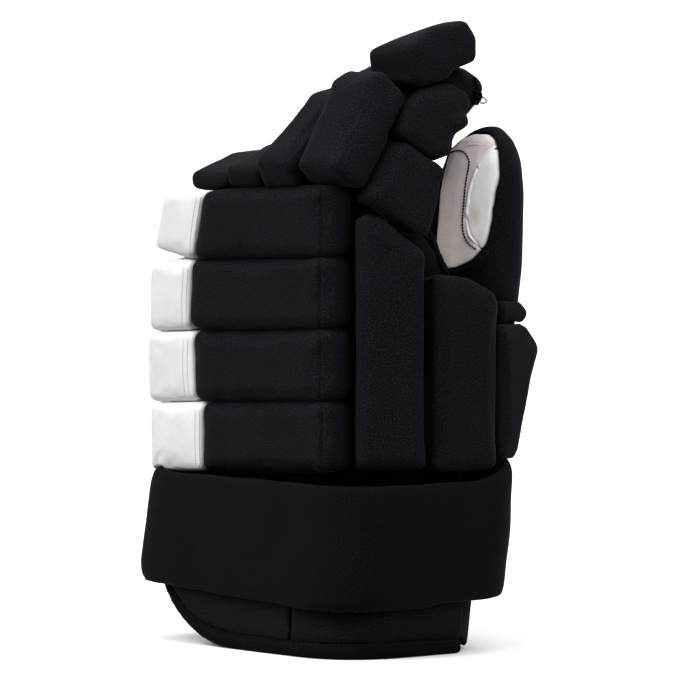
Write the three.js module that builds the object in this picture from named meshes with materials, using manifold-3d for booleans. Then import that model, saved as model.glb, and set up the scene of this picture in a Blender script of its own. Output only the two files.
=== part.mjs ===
// A left-hand field hockey glove with foam rolls, standing on the hem of its cuff.
// Millimetres. +Z runs from the wrist to the fingers, -Y is the back of the hand, +X the thumb side.

import * as THREE from "three";
import { ConvexGeometry } from "three/addons/geometries/ConvexGeometry.js";
import { mergeVertices } from "three/addons/utils/BufferGeometryUtils.js";
import Module from "manifold-3d";

const wasm = await Module();
wasm.setup();

// Driving dimensions
const GAP = 0.3; // clearance between pieces that touch
const CLOTH = 2.5; // wall of the lined textile body
const LEATHER = 2; // wall of the palm and of the thumb's inner face
const FLAP_WALL = 3.5; // padded cuff flap
const BAND_WALL = 5; // neoprene wrist band
const BINDING = 6; // height of the tape that binds the hem
const TAPE_GAP = 0.5; // upright gap above it, less across the tape where the hem is steep
const EDGE = 3.8; // rounding of the foam blocks
const ROLL_EDGE = 3; // and of the back rolls
const BASE_EDGE = 4.5; // and of the pad at the base of the thumb
const SIDE_TAPER = 2.5; // how far the side blocks draw in towards the hand
const HEEL_EDGE = 3; // the same two sizes on the small pad at the heel of the thumb
const HEEL_TAPER = 0.8;
const ROLL_FACE = -45; // outer face of the back rolls
const ROLL_BACK = -28; // their inner face
const ROLLS = 4;
const ROLL_PITCH = 32.5; // one back roll to the next
const ROLL_LOW = 77; // lowest back roll's lower edge at the little finger side
const ROLL_RISE = 6; // how far each back roll climbs towards the thumb
const ROLL_SEAM = 1; // valley between two foam blocks
const WHITE_SEAM_X = -46; // where the white roll ends are sewn on
const ROLL_END_X = 40; // where a back roll's face turns towards the thumb
const WHITE_END_X = -82; // where a white end's face turns round the edge of the hand
// From the lowest roll up: how far the white seam and the outer end lie along x from the two values above, at
// the roll's lower and upper edge, and how far the lower edge rises at the outer end.
const ROLL_SHIFTS = [
  { seamLow: 0, seamHigh: 0, endLow: -1.9, endHigh: -1.9, endRise: 0 },
  { seamLow: -5.7, seamHigh: -7.1, endLow: -3.4, endHigh: -3.4, endRise: 0 },
  { seamLow: -9.7, seamHigh: -8.7, endLow: -2.6, endHigh: -1.5, endRise: 0 },
  { seamLow: -7.1, seamHigh: 0.5, endLow: 1, endHigh: 9, endRise: 5 },
];
const HAND_TOP = 210; // top of the hand, where the fingers begin
const PALM_LOW = 74; // lower end of the palm leather
// Where the palm leather meets the textile, in y, on the little finger's side and on the thumb's.
const PALM_SEAM_ROWS = [
  { z: PALM_LOW, little: 8, thumb: 42 },
  { z: 120, little: 8, thumb: 36 },
  { z: 160, little: 6.4, thumb: 31 },
  { z: 175, little: 3.1, thumb: 27 },
  { z: 190, little: -0.2, thumb: 18.5 },
];
const HAND_LEFT = -66; // the hand's edge by the little finger
const HAND_WIDTH = 115;
const CUFF_MIDDLE = 40; // height at which the cuff's outline is measured
const PALM_STEP = 0.7; // half the width in which the parting line steps from one finger to the next
const PALM_FAR = 140; // the parting region reaches past the palm, the fingertips and the hand's sides
const PAST_SIDES = 200;
const PAST_TIP = 30;
const PAST_TOP = 320; // above the highest fingertip
const SLEEVE_TOP = 65; // the cuff's sleeve is sewn to the hand here, under the wrist band
// The hand's shell ends and the finger stalls begin along this line of (y, z), seen from the thumb side.
const STALL_LINE = [[-PALM_FAR, 196], [0, 196], [45, 155], [PALM_FAR, 155]];
const PERIMETER_STEPS = 44; // stations around the wrist and hand
const CORNER_STEPS = 6;
const SEARCH_STEPS = 2000;

// The hand and cuff from the hem up, outer surface. The last column rounds the corner by the index finger.
const BODY = [
  { z: 0, left: -75, right: 62, back: -48.3, palm: 37.2, round: 25, indexRound: 28 },
  { z: 27, left: -76.9, right: 63.3, back: -48, palm: 39.4, round: 25, indexRound: 28 },
  { z: 56, left: -77.2, right: 64.3, back: -45.6, palm: 42.4, round: 25, indexRound: 28 },
  { z: 75, left: -66, right: 49, back: -27.7, palm: 40, round: 14, indexRound: 24 },
  { z: 130, left: -66, right: 49, back: -27.7, palm: 38, round: 14, indexRound: 24 },
  { z: 170, left: -64, right: 49, back: -27.7, palm: 30, round: 14, indexRound: 24 },
  { z: 198, left: -61, right: 50, back: -27.7, palm: 14, round: 12, indexRound: 18 },
  { z: HAND_TOP, left: -59, right: 50.5, back: -26, palm: 6, round: 12, indexRound: 14 },
];

// The cuff flap's outer surface and the wrist band's, in the same columns.
const FLAP = [
  { z: 0, left: -79.2, right: 66, back: -52.3, palm: 41, round: 28, indexRound: 30 },
  { z: 27, left: -81.6, right: 67.7, back: -52.2, palm: 43.2, round: 26, indexRound: 30 },
  { z: 61, left: -81.4, right: 68.4, back: -49.4, palm: 46.5, round: 24, indexRound: 30 },
];
const BAND = [
  { z: 24, left: -91.5, right: 73, back: -57.5, palm: 48.5, round: 22, indexRound: 30 },
  { z: 52, left: -88.8, right: 74, back: -55.5, palm: 51, round: 22, indexRound: 30 },
  { z: 80, left: -85.5, right: 74, back: -52.8, palm: 53.2, round: 22, indexRound: 30 },
];
const BAND_LOW = { middle: 26, slope: -0.05 }; // lower edge, falling towards the thumb's knuckle corner
const BAND_HIGH = { middle: 78.6, slope: -0.01 };
const BAND_RISE = { height: 8, from: 20, to: 47 }; // how its upper edge climbs round to the palm side, in y
const FRONT_CORNER = [0.766, -0.643]; // plan direction of that corner

// The hem is cut away in a curve at the little finger's corner of the cuff.
const HEM_CUT = { toward: [-0.8, -0.6], start: 30, span: 54, rise: 26, power: 3.5, end: 1.05 };
const HEM_SHORT = 7; // the inner layer ends this far above the flap, from here on towards the back
const HEM_SHORT_Y = { none: 36, full: 18 };
const BELOW_HEM = 20; // how far a cut that opens the cuff starts below it
const FLAP_SEAM_X = 25; // upright seam between the flap's two panels
const FLAP_SEAM = 0.0012; // its width, and the flap's two ends, as fractions of the perimeter
const FLAP_STEPS = 40;
const FLAP_START = 0.2;
const FLAP_END = 0.79;

// Fingers: axis points (y, z) from inside the hand to the tip, each finger at its own x. The leather starts
// at a seam this far palmward of the axis, at the finger's base and at its tip.
const FINGERS = [
  {
    name: "index",
    x: 37,
    radius: 13,
    seam: 8,
    tipSeam: 10,
    axis: [
      [-14.4, 182], [-14.4, 200], [-13.4, 213], [-5.5, 230],
      [3, 241], [12, 246.5], [24, 250], [36, 253],
    ],
  },
  {
    name: "middle",
    x: 8,
    radius: 12.5,
    seam: 3.5,
    tipSeam: 3.5,
    axis: [[-15, 180], [-15, 197], [-12, 209], [-2, 221], [9, 229], [20, 233], [30, 235.5], [37, 237]],
  },
  {
    name: "ring",
    x: -19,
    radius: 12.3,
    seam: 3.5,
    tipSeam: 3.5,
    axis: [[-15, 176], [-14, 189], [-9, 199], [2, 205], [14, 207.5], [26, 206], [34, 200.5], [38, 194]],
  },
  {
    name: "little",
    x: -45,
    radius: 11.8,
    seam: 3.5,
    tipSeam: 3.5,
    axis: [[-15, 170], [-14, 182], [-9, 191], [1, 197], [12, 199.5], [21, 197.5], [27, 192], [30, 186]],
  },
];
const FINGER_SIDES = 12;
const FINGER_STEPS = 9;
const TIP_ANGLES = [35, 65]; // rings of the domed tip
const TIP_DOME = 0.8;

// Foam blocks on the backs of the fingers: corner points of each outline seen from the thumb side (y, z),
// with the block's reach in x at that corner, and how far its left end lies below its right end there.
const FINGER_BLOCKS = [
  {
    name: "index_roll",
    corners: [
      { y: -46, z: 220, left: 21.5, right: 51 },
      { y: -38, z: 215, left: 21.8, right: 53 },
      { y: -31, z: 209.3, left: 22, right: 54 },
      { y: -5, z: 251.5, left: 22, right: 54.5 },
      { y: -14, z: 264.5, left: 21.3, right: 50.5 },
      { y: -24, z: 259.5, left: 21.3, right: 46 },
    ],
  },
  {
    name: "middle_roll",
    corners: [
      { y: -48.5, z: 222.5, left: -5.7, right: 20.8 },
      { y: -42, z: 211, left: -5.7, right: 20.8 },
      { y: -24, z: 211, left: -4.5, right: 20 },
      { y: 4, z: 234, left: -4.5, right: 20 },
      { y: 3.5, z: 256.5, left: -5.7, right: 20.8 },
      { y: -14, z: 253, left: -5.7, right: 20.8 },
    ],
  },
  {
    name: "ring_roll",
    corners: [
      { y: -45, z: 218.5, left: -32.2, right: -6.4 },
      { y: -40, z: 210.6, left: -32.2, right: -6.4 },
      { y: -22, z: 208.8, left: -31, right: -7.5 },
      { y: 0, z: 211, left: -31, right: -7.5 },
      { y: 1, z: 230.5, left: -32.2, right: -6.4 },
      { y: -19, z: 229, left: -32.2, right: -6.4 },
    ],
  },
  {
    name: "little_roll",
    corners: [
      { y: -43, z: 214.5, left: -62, right: -32.9 },
      { y: -37, z: 209.4, left: -62, right: -32.9 },
      { y: -22, z: 205.6, left: -60, right: -34 },
      { y: 0, z: 205.6, left: -60, right: -34 },
      { y: 2, z: 225.5, left: -61, right: -32.9 },
      { y: -16, z: 224, left: -62, right: -32.9 },
    ],
  },
  {
    name: "index_tip_cap",
    corners: [
      { y: -2.3, z: 275, left: 20, right: 54, drop: 3 },
      { y: -0.3, z: 255.5, left: 20.5, right: 54.5, drop: 0 },
      { y: 37, z: 266.8, left: 21, right: 54.5, drop: 0 },
      { y: 37.8, z: 278, left: 21, right: 54, drop: 2 },
      { y: 32, z: 286.5, left: 20.5, right: 53.5, drop: 5 },
      { y: 13, z: 284, left: 20.5, right: 53.5, drop: 7 },
    ],
  },
  {
    name: "middle_tip_cap",
    corners: [
      { y: 4.3, z: 259.5, left: -5.5, right: 19.3 },
      { y: 5.5, z: 236, left: -5, right: 19.3 },
      { y: 45, z: 240, left: -5, right: 19.3 },
      { y: 44, z: 258, left: -5, right: 19.3 },
      { y: 36, z: 265.5, left: -5, right: 19.3 },
      { y: 20, z: 265, left: -5.5, right: 19.3 },
    ],
  },
  {
    name: "ring_tip_cap",
    corners: [
      { y: 2.5, z: 231, left: -31.5, right: -7 },
      { y: 2, z: 210, left: -31, right: -7 },
      { y: 42, z: 200, left: -31, right: -7 },
      { y: 48, z: 213, left: -31, right: -7 },
      { y: 37, z: 226, left: -31, right: -7 },
      { y: 20, z: 231, left: -31.5, right: -7 },
    ],
  },
  {
    name: "little_tip_cap",
    corners: [
      { y: 3.5, z: 225.5, left: -57.5, right: -34 },
      { y: 2, z: 203, left: -57, right: -34 },
      { y: 33, z: 192, left: -57, right: -34 },
      { y: 40, z: 205, left: -57, right: -34 },
      { y: 30, z: 218, left: -57, right: -34 },
      { y: 16, z: 223.5, left: -57.5, right: -34 },
    ],
  },
  {
    name: "index_upper_side_pad",
    corners: [
      { y: -8, z: 246.5, left: 46, right: 56.5 },
      { y: -13, z: 235.5, left: 46, right: 58 },
      { y: 6, z: 223.3, left: 46, right: 61 },
      { y: 12.5, z: 223.8, left: 46, right: 60.5 },
      { y: 26.5, z: 241.5, left: 46, right: 58.5 },
      { y: 31.5, z: 248.5, left: 46, right: 58 },
      { y: 27, z: 255.5, left: 46, right: 57 },
      { y: 3.5, z: 253.8, left: 46, right: 57 },
    ],
  },
  {
    name: "index_lower_side_pad",
    corners: [
      { y: -31.5, z: 206.7, left: 47, right: 58.5 },
      { y: -7.5, z: 189.3, left: 47, right: 66 },
      { y: -1.8, z: 189.5, left: 46, right: 66 },
      { y: 6.2, z: 205, left: 46, right: 64 },
      { y: 10, z: 217, left: 46, right: 62 },
      { y: 6.5, z: 222, left: 46, right: 61 },
      { y: -6.5, z: 230.8, left: 46, right: 59.5 },
      { y: -11.5, z: 231.8, left: 46, right: 59 },
    ],
  },
];

// Long blocks on the thumb side. Outline corners run along the face (s) and up (z); the face looks out at an
// angle from the back of the hand, and each block has its outer and inner distance from that line's pivot.
const SIDE_BLOCKS = [
  {
    name: "side_roll_front",
    azimuth: 58,
    pivot: [62.5, -20],
    depth: 15.5,
    edge: EDGE,
    taper: SIDE_TAPER,
    corners: [
      { s: -18, z: 83.5 },
      { s: 14.7, z: 83.5 },
      { s: 14.7, z: 182.5 },
      { s: -5, z: 198.3 },
      { s: -12.5, z: 201 },
      { s: -18, z: 198 },
    ],
  },
  {
    name: "side_roll_rear",
    azimuth: 86,
    pivot: [70.5, 16.5],
    depth: 20.5,
    edge: EDGE,
    taper: SIDE_TAPER,
    corners: [
      { s: -18.8, z: 82.3 },
      { s: 18.3, z: 82.3 },
      { s: 19.3, z: 158 },
      { s: 17, z: 163.5 },
      { s: 3, z: 170.5 },
      { s: -18.8, z: 173.3 },
    ],
  },
  {
    name: "thumb_base_pad",
    azimuth: 108,
    pivot: [64, 53],
    depth: 14,
    edge: BASE_EDGE,
    taper: SIDE_TAPER,
    corners: [
      { s: -15, z: 85 },
      { s: -2, z: 85 },
      { s: 2.5, z: 89.5 },
      { s: 20, z: 133 },
      { s: 20, z: 138 },
      { s: 9, z: 147.3 },
      { s: -15, z: 148.5 },
    ],
  },
  {
    name: "thumb_heel_pad",
    azimuth: 108,
    pivot: [60.5, 53],
    depth: 16,
    edge: HEEL_EDGE,
    taper: HEEL_TAPER,
    corners: [
      { s: -10, z: 149.3 },
      { s: 9, z: 148.1 },
      { s: 13.5, z: 149.2 },
      { s: 13.5, z: 153.5 },
      { s: 6.5, z: 158.3 },
      { s: -10, z: 158.8 },
    ],
  },
];

// Thumb sections from the heel of the hand to the tip: centre, half width and half thickness.
const THUMB_AZIMUTH = 20; // the leather face looks to the back of the hand, turned this much to +X
const THUMB = [
  { z: 92, x: 30, y: 25, wide: 15, thick: 10 },
  { z: 115, x: 35, y: 41, wide: 17, thick: 14 },
  { z: 150, x: 36.6, y: 49.3, wide: 20, thick: 15 },
  { z: 172, x: 37.6, y: 49.1, wide: 22.5, thick: 14.5 },
  { z: 190, x: 39.6, y: 47.8, wide: 23, thick: 14 },
  { z: 208, x: 42, y: 47.5, wide: 21.6, thick: 13.5 },
  { z: 221, x: 44.4, y: 47.8, wide: 18.2, thick: 12.8 },
  { z: 226, x: 44.4, y: 48, wide: 16.4, thick: 12.2 },
  { z: 231, x: 46.2, y: 48.3, wide: 12.3, thick: 11 },
  { z: 235.6, x: 48, y: 48.5, wide: 6.6, thick: 7 },
  { z: 237.6, x: 49.8, y: 48.8, wide: 2.6, thick: 3.4 },
];
const THUMB_SIDES = 18;
const THUMB_SQUARENESS = 0.85;
const THUMB_WALL = { wide: 6.5, thick: LEATHER, top: 6 };
const THUMB_TAPER_Z = 200; // above this the hollow's sections sink by up to THUMB_WALL.top
// The leather window in the thumb's face: its reach to the finger side and to the outer side, and the
// seam beyond which it is the white gusset.
const THUMB_WINDOW = [
  { z: 172.5, left: -9.5, seam: -3, right: -3 },
  { z: 176, left: -13, seam: 5, right: 5 },
  { z: 181.3, left: -14, seam: 10, right: 10 },
  { z: 182, left: -14, seam: 9.3, right: 10.5 },
  { z: 185, left: -14.3, seam: 7.6, right: 11.6 },
  { z: 190, left: -14.3, seam: 3.8, right: 12.8 },
  { z: 198, left: -14.3, seam: 1.3, right: 13.2 },
  { z: 206, left: -14.5, seam: 1.2, right: 13.4 },
  { z: 215, left: -14.5, seam: 2.7, right: 14 },
  { z: 223, left: -13.8, seam: 6.2, right: 12.4 },
  { z: 227.5, left: -12.5, seam: 9.3, right: 10.7 },
  { z: 228.2, left: -12, seam: 10.2, right: 10.2 },
  { z: 231.5, left: -8.8, seam: 8, right: 8 },
  { z: 234, left: -3.5, seam: 3.5, right: 3.5 },
];
const WINDOW_DEPTH = 3; // only the front wall is cut, from this far in front of the thumb's middle
const WINDOW_REACH = 30;

// Colours as photographed
const FINISH = {
  black: new THREE.MeshStandardMaterial({ color: 0x15151b, roughness: 0.9, metalness: 0 }),
  white: new THREE.MeshStandardMaterial({ color: 0xe9e9ea, roughness: 0.7, metalness: 0 }),
  leather: new THREE.MeshStandardMaterial({ color: 0xb9b3b0, roughness: 0.75, metalness: 0 }),
  binding: new THREE.MeshStandardMaterial({ color: 0x101014, roughness: 0.95, metalness: 0 }),
};

const radians = THREE.MathUtils.degToRad;

// A closed skin through rings of points. With loop set, the last ring joins the first and there are no caps.
function skin(rings, loop = false) {
  const count = rings[0].length;
  const points = rings.flat();
  const faces = [];
  const bands = loop ? rings.length : rings.length - 1;
  for (let i = 0; i < bands; i += 1) {
    const a = i * count;
    const b = ((i + 1) % rings.length) * count;
    for (let j = 0; j < count; j += 1) {
      const k = (j + 1) % count;
      faces.push([a + j, a + k, b + k], [a + j, b + k, b + j]);
    }
  }
  if (!loop) {
    const ends = [rings[0], rings[rings.length - 1]];
    ends.forEach((ring, end) => {
      const centre = ring.reduce((sum, p) => sum.add(p), new THREE.Vector3()).divideScalar(count);
      const hub = points.push(centre) - 1;
      const first = end * (rings.length - 1) * count;
      for (let j = 0; j < count; j += 1) {
        const edge = [first + j, first + ((j + 1) % count)];
        faces.push(end ? [...edge, hub] : [...edge.reverse(), hub]);
      }
    });
  }
  return outward(points, faces);
}

// Triangles turned so that the enclosed volume is positive.
function outward(points, faces) {
  const volume = faces.reduce((sum, [a, b, c]) => {
    const cross = new THREE.Vector3().crossVectors(points[b], points[c]);
    return sum + points[a].dot(cross);
  }, 0);
  const turned = volume < 0 ? faces.map(([a, b, c]) => [a, c, b]) : faces;
  const geometry = new THREE.BufferGeometry();
  const positions = points.flatMap((p) => [p.x, p.y, p.z]);
  geometry.setAttribute("position", new THREE.Float32BufferAttribute(positions, 3));
  geometry.setIndex(turned.flat());
  return geometry;
}

function toSolid(geometry) {
  const bare = geometry.clone();
  bare.deleteAttribute("normal");
  bare.deleteAttribute("uv");
  const welded = mergeVertices(bare, 1e-4);
  const vertProperties = new Float32Array(welded.attributes.position.array);
  const triVerts = new Uint32Array(welded.index.array);
  return new wasm.Manifold(new wasm.Mesh({ numProp: 3, vertProperties, triVerts }));
}

function toGeometry(solid) {
  const mesh = solid.getMesh();
  const geometry = new THREE.BufferGeometry();
  geometry.setAttribute("position", new THREE.BufferAttribute(new Float32Array(mesh.vertProperties), 3));
  geometry.setIndex(new THREE.BufferAttribute(new Uint32Array(mesh.triVerts), 1));
  return geometry;
}

// Value of each column of a table at height z, straight between rows and held beyond its ends.
function rowAt(table, z) {
  const last = table.length - 1;
  const i = Math.min(Math.max(table.findIndex((row) => row.z > z) - 1, 0), last - 1);
  const low = z >= table[last].z ? table[last - 1] : table[i];
  const high = z >= table[last].z ? table[last] : table[i + 1];
  const t = Math.min(Math.max((z - low.z) / (high.z - low.z), 0), 1);
  return Object.fromEntries(Object.keys(low).map((key) => [key, low[key] + (high[key] - low[key]) * t]));
}

// Plan outline of a row as a route, from the middle of the palm side round by the thumb side.
function outlineRoute(row, grow) {
  const corner = (x, y, radius, from) => {
    const r = radius + grow;
    const centre = [x - Math.sign(x) * radius, y - Math.sign(y) * radius];
    return Array.from({ length: CORNER_STEPS + 1 }, (_, i) => {
      const angle = radians(from - (90 * i) / CORNER_STEPS);
      return new THREE.Vector2(centre[0] + r * Math.cos(angle), centre[1] + r * Math.sin(angle));
    });
  };
  const middle = (row.left + row.right) / 2;
  const palmRound = Math.min(row.round, row.palm);
  const path = [
    new THREE.Vector2(middle, row.palm + grow),
    ...corner(row.right, row.palm, palmRound, 90),
    ...corner(row.right, row.back, row.indexRound, 0),
    ...corner(row.left, row.back, row.round, -90),
    ...corner(row.left, row.palm, palmRound, -180),
    new THREE.Vector2(middle, row.palm + grow),
  ];
  const route = new THREE.CurvePath();
  for (let i = 1; i < path.length; i += 1) {
    route.add(new THREE.LineCurve(path[i - 1], path[i]));
  }
  return route;
}

function outline(row, grow) {
  const route = outlineRoute(row, grow);
  return Array.from({ length: PERIMETER_STEPS }, (_, i) => route.getPoint(i / PERIMETER_STEPS));
}

// Height of the cuff's cut hem at a plan position.
function hem(x, y) {
  const along = x * HEM_CUT.toward[0] + y * HEM_CUT.toward[1];
  const t = Math.max(0, along - HEM_CUT.start) / HEM_CUT.span;
  return HEM_CUT.rise * Math.min(t, HEM_CUT.end) ** HEM_CUT.power;
}

// A table such as BODY as a closed solid. The lowest ring follows lowAt(x, y).
function tableSolid(table, grow, lowAt, top) {
  const heights = [...table.map((row) => row.z).filter((z) => z < top - 1), top];
  const rings = heights.map((z, i) => {
    const ring = outline(rowAt(table, z), grow);
    return ring.map((p) => new THREE.Vector3(p.x, p.y, i === 0 ? lowAt(p.x, p.y) : z));
  });
  return skin(rings);
}

// A finger as a bent round bar along its axis, with a domed tip.
function fingerSolid(finger, grow) {
  const route = new THREE.CatmullRomCurve3(finger.axis.map(([y, z]) => new THREE.Vector3(finger.x, y, z)));
  const radius = finger.radius + grow;
  const across = new THREE.Vector3(1, 0, 0);
  const ringAt = (t, scale, beyond) => {
    const along = route.getTangentAt(t);
    const centre = route.getPointAt(t).addScaledVector(along, beyond);
    const up = new THREE.Vector3().crossVectors(along, across);
    return Array.from({ length: FINGER_SIDES }, (_, j) => {
      const angle = (2 * Math.PI * j) / FINGER_SIDES;
      return centre
        .clone()
        .addScaledVector(across, Math.cos(angle) * radius * scale)
        .addScaledVector(up, Math.sin(angle) * radius * scale);
    });
  };
  const rings = [];
  for (let i = 0; i <= FINGER_STEPS; i += 1) {
    rings.push(ringAt(i / FINGER_STEPS, 1, 0));
  }
  for (const angle of TIP_ANGLES) {
    rings.push(ringAt(1, Math.cos(radians(angle)), Math.sin(radians(angle)) * radius * TIP_DOME));
  }
  return skin(rings);
}

// The directions of a box's faces, edges and corners: a coarse ball.
const BALL = [];
for (const x of [-1, 0, 1]) {
  for (const y of [-1, 0, 1]) {
    for (const z of [-1, 0, 1]) {
      if (x || y || z) {
        BALL.push(new THREE.Vector3(x, y, z).normalize());
      }
    }
  }
}

// A convex outline's corners moved inwards by the same distance from both of their edges.
function insetCorners(corners, distance) {
  const area = corners.reduce((sum, p, i) => {
    const q = corners[(i + 1) % corners.length];
    return sum + p.x * q.y - q.x * p.y;
  }, 0);
  const turn = Math.sign(area);
  const inward = (p, q) => new THREE.Vector2(-(q.y - p.y), q.x - p.x).normalize().multiplyScalar(turn);
  return corners.map((p, i) => {
    const before = inward(corners[(i + corners.length - 1) % corners.length], p);
    const after = inward(p, corners[(i + 1) % corners.length]);
    const scale = distance / (1 + before.dot(after));
    return p.clone().addScaledVector(before.add(after), scale);
  });
}

// A convex foam block with its edges rounded. Each corner of its outline has a low and a high end in depth.
// The low end is drawn in by taper and moved down by the corner's drop, if it has one. place(a, b, depth)
// puts a point of the outline's plane in space.
function foamBlock(corners, place, edge, taper) {
  const flat = corners.map((c) => new THREE.Vector2(c.a, c.b));
  const low = insetCorners(flat, edge + taper);
  const high = insetCorners(flat, edge);
  const points = [];
  corners.forEach((c, i) => {
    const lowEnd = place(low[i].x, low[i].y - (c.drop ?? 0), c.low + edge);
    const ends = [lowEnd, place(high[i].x, high[i].y, c.high - edge)];
    for (const end of ends) {
      points.push(...BALL.map((way) => end.clone().addScaledVector(way, edge)));
    }
  });
  return toSolid(new ConvexGeometry(points));
}

// A block outlined in the finger's own plane, as deep as its reach in x.
function fingerBlock(block) {
  const corners = block.corners.map((c) => ({ a: c.y, b: c.z, low: c.left, high: c.right, drop: c.drop }));
  return foamBlock(corners, (y, z, x) => new THREE.Vector3(x, y, z), EDGE, 0);
}

// A block outlined along its own upright face.
function sideBlock(block) {
  const angle = radians(block.azimuth);
  const out = [Math.sin(angle), -Math.cos(angle)];
  const along = [Math.cos(angle), Math.sin(angle)];
  const corners = block.corners.map((c) => ({ a: c.s, b: c.z, low: -block.depth, high: 0 }));
  const place = (s, z, depth) => {
    const x = block.pivot[0] + along[0] * s + out[0] * depth;
    const y = block.pivot[1] + along[1] * s + out[1] * depth;
    return new THREE.Vector3(x, y, z);
  };
  return foamBlock(corners, place, block.edge, block.taper);
}

// Climb of the back rolls across the hand.
function rollRise(x) {
  return (ROLL_RISE * (x - HAND_LEFT)) / (ROLL_END_X - HAND_LEFT);
}

// A back roll between two heights along a plan route of stations: position, inward direction, depth and
// how much the section closes there. Its row of ROLL_SHIFTS slants the seam and the outer end.
function rollSolid(low, high, stations, shifts) {
  const { clamp, lerp } = THREE.MathUtils;
  const rings = stations.map((station) => {
    const rise = rollRise(station.x);
    const toSeam = clamp(station.x / WHITE_SEAM_X, 0, 1);
    const toEnd = clamp((station.x - WHITE_SEAM_X) / (WHITE_END_X - WHITE_SEAM_X), 0, 1);
    const lowShift = lerp(shifts.seamLow * toSeam, shifts.endLow, toEnd);
    const highShift = lerp(shifts.seamHigh * toSeam, shifts.endHigh, toEnd);
    const bottom = low + rise + station.close + shifts.endRise * toEnd;
    const top = high + rise - station.close;
    const inward = new THREE.Vector2(...station.inward).normalize();
    const back = Math.min(2, station.depth / 3);
    const round = Math.min(ROLL_EDGE, (top - bottom) / 2 - 0.5, station.depth - back - 0.2);
    const cut = round * (1 - Math.SQRT1_2);
    const section = [
      [0, bottom + round],
      [cut, bottom + cut],
      [round, bottom],
      [station.depth - back, bottom],
      [station.depth, bottom + back],
      [station.depth, top - back],
      [station.depth - back, top],
      [round, top],
      [cut, top - cut],
      [0, top - round],
    ];
    return section.map(([depth, z]) => {
      const x = station.x + lerp(lowShift, highShift, (z - bottom) / (top - bottom));
      return new THREE.Vector3(x + inward.x * depth, station.y + inward.y * depth, z);
    });
  });
  return skin(rings);
}

const ROLL_DEPTH = ROLL_BACK - ROLL_FACE;
// Black part, from the white seam to the slope by the thumb side.
const BLACK_STATIONS = [
  { x: WHITE_SEAM_X + 0.3, y: ROLL_FACE + 1.8, inward: [0, 1], depth: ROLL_DEPTH - 1.8, close: 1.4 },
  { x: WHITE_SEAM_X + 1.5, y: ROLL_FACE + 0.5, inward: [0, 1], depth: ROLL_DEPTH - 0.5, close: 0.4 },
  { x: WHITE_SEAM_X + 3.5, y: ROLL_FACE, inward: [0, 1], depth: ROLL_DEPTH, close: 0 },
  { x: 0, y: ROLL_FACE, inward: [0, 1], depth: ROLL_DEPTH, close: 0 },
  { x: ROLL_END_X - 1, y: ROLL_FACE, inward: [-0.05, 1], depth: ROLL_DEPTH, close: 0 },
  { x: ROLL_END_X + 0.5, y: ROLL_FACE + 0.5, inward: [-0.12, 1], depth: 16.2, close: 0 },
  { x: ROLL_END_X + 3, y: ROLL_FACE + 3.8, inward: [-0.32, 1], depth: 13, close: 0.4 },
  { x: ROLL_END_X + 4.5, y: ROLL_FACE + 10, inward: [-0.58, 1], depth: 7.2, close: 1.2 },
  { x: ROLL_END_X + 4.8, y: ROLL_FACE + 14.5, inward: [-1, 0.47], depth: 4.8, close: 2.5 },
];
// White part, round the edge of the hand by the little finger.
const WHITE_STATIONS = [
  { x: WHITE_SEAM_X - 0.3, y: ROLL_FACE + 1, inward: [0, 1], depth: ROLL_DEPTH - 1, close: 0.8 },
  { x: WHITE_SEAM_X - 1, y: ROLL_FACE + 0.3, inward: [0, 1], depth: ROLL_DEPTH - 0.3, close: 0.2 },
  { x: WHITE_SEAM_X - 2.5, y: ROLL_FACE, inward: [0, 1], depth: ROLL_DEPTH, close: 0 },
  { x: -73, y: ROLL_FACE, inward: [0.15, 1], depth: ROLL_DEPTH, close: 0 },
  { x: WHITE_END_X, y: ROLL_FACE + 1.3, inward: [0.75, 1], depth: 20.5, close: 0.2 },
  { x: -86.5, y: ROLL_FACE + 5.5, inward: [1, 0.75], depth: 23.5, close: 0.5 },
  { x: -87.5, y: ROLL_FACE + 15, inward: [1, 0.2], depth: 21, close: 0.6 },
  { x: -87, y: -12, inward: [1, 0], depth: 20.6, close: 0.6 },
  { x: -84, y: -2, inward: [1, 0], depth: 17.6, close: 1.2 },
  { x: -79, y: 4, inward: [1, 0], depth: 12.6, close: 4 },
];

// Plan direction pairs for the thumb's sections.
const THUMB_FACE = [Math.sin(radians(THUMB_AZIMUTH)), -Math.cos(radians(THUMB_AZIMUTH))];
const THUMB_ALONG = [Math.cos(radians(THUMB_AZIMUTH)), Math.sin(radians(THUMB_AZIMUTH))];

function thumbPoint(row, s, out, z = row.z) {
  return new THREE.Vector3(
    row.x + THUMB_ALONG[0] * s + THUMB_FACE[0] * out,
    row.y + THUMB_ALONG[1] * s + THUMB_FACE[1] * out,
    z,
  );
}

// The thumb from its sections. Walls taken off the width, the thickness and the top make its hollow.
function thumbSolid(walls) {
  const top = THUMB[THUMB.length - 1].z;
  const squared = (value) => Math.sign(value) * Math.abs(value) ** THUMB_SQUARENESS;
  const rings = THUMB.map((row) => {
    const wide = row.wide - Math.min(walls.wide, row.wide / 2);
    const thick = row.thick - walls.thick;
    const sink = (walls.top * Math.max(0, row.z - THUMB_TAPER_Z)) / (top - THUMB_TAPER_Z);
    return Array.from({ length: THUMB_SIDES }, (_, j) => {
      const angle = (2 * Math.PI * j) / THUMB_SIDES;
      return thumbPoint(row, squared(Math.cos(angle)) * wide, squared(Math.sin(angle)) * thick, row.z - sink);
    });
  });
  return toSolid(skin(rings));
}

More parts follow.
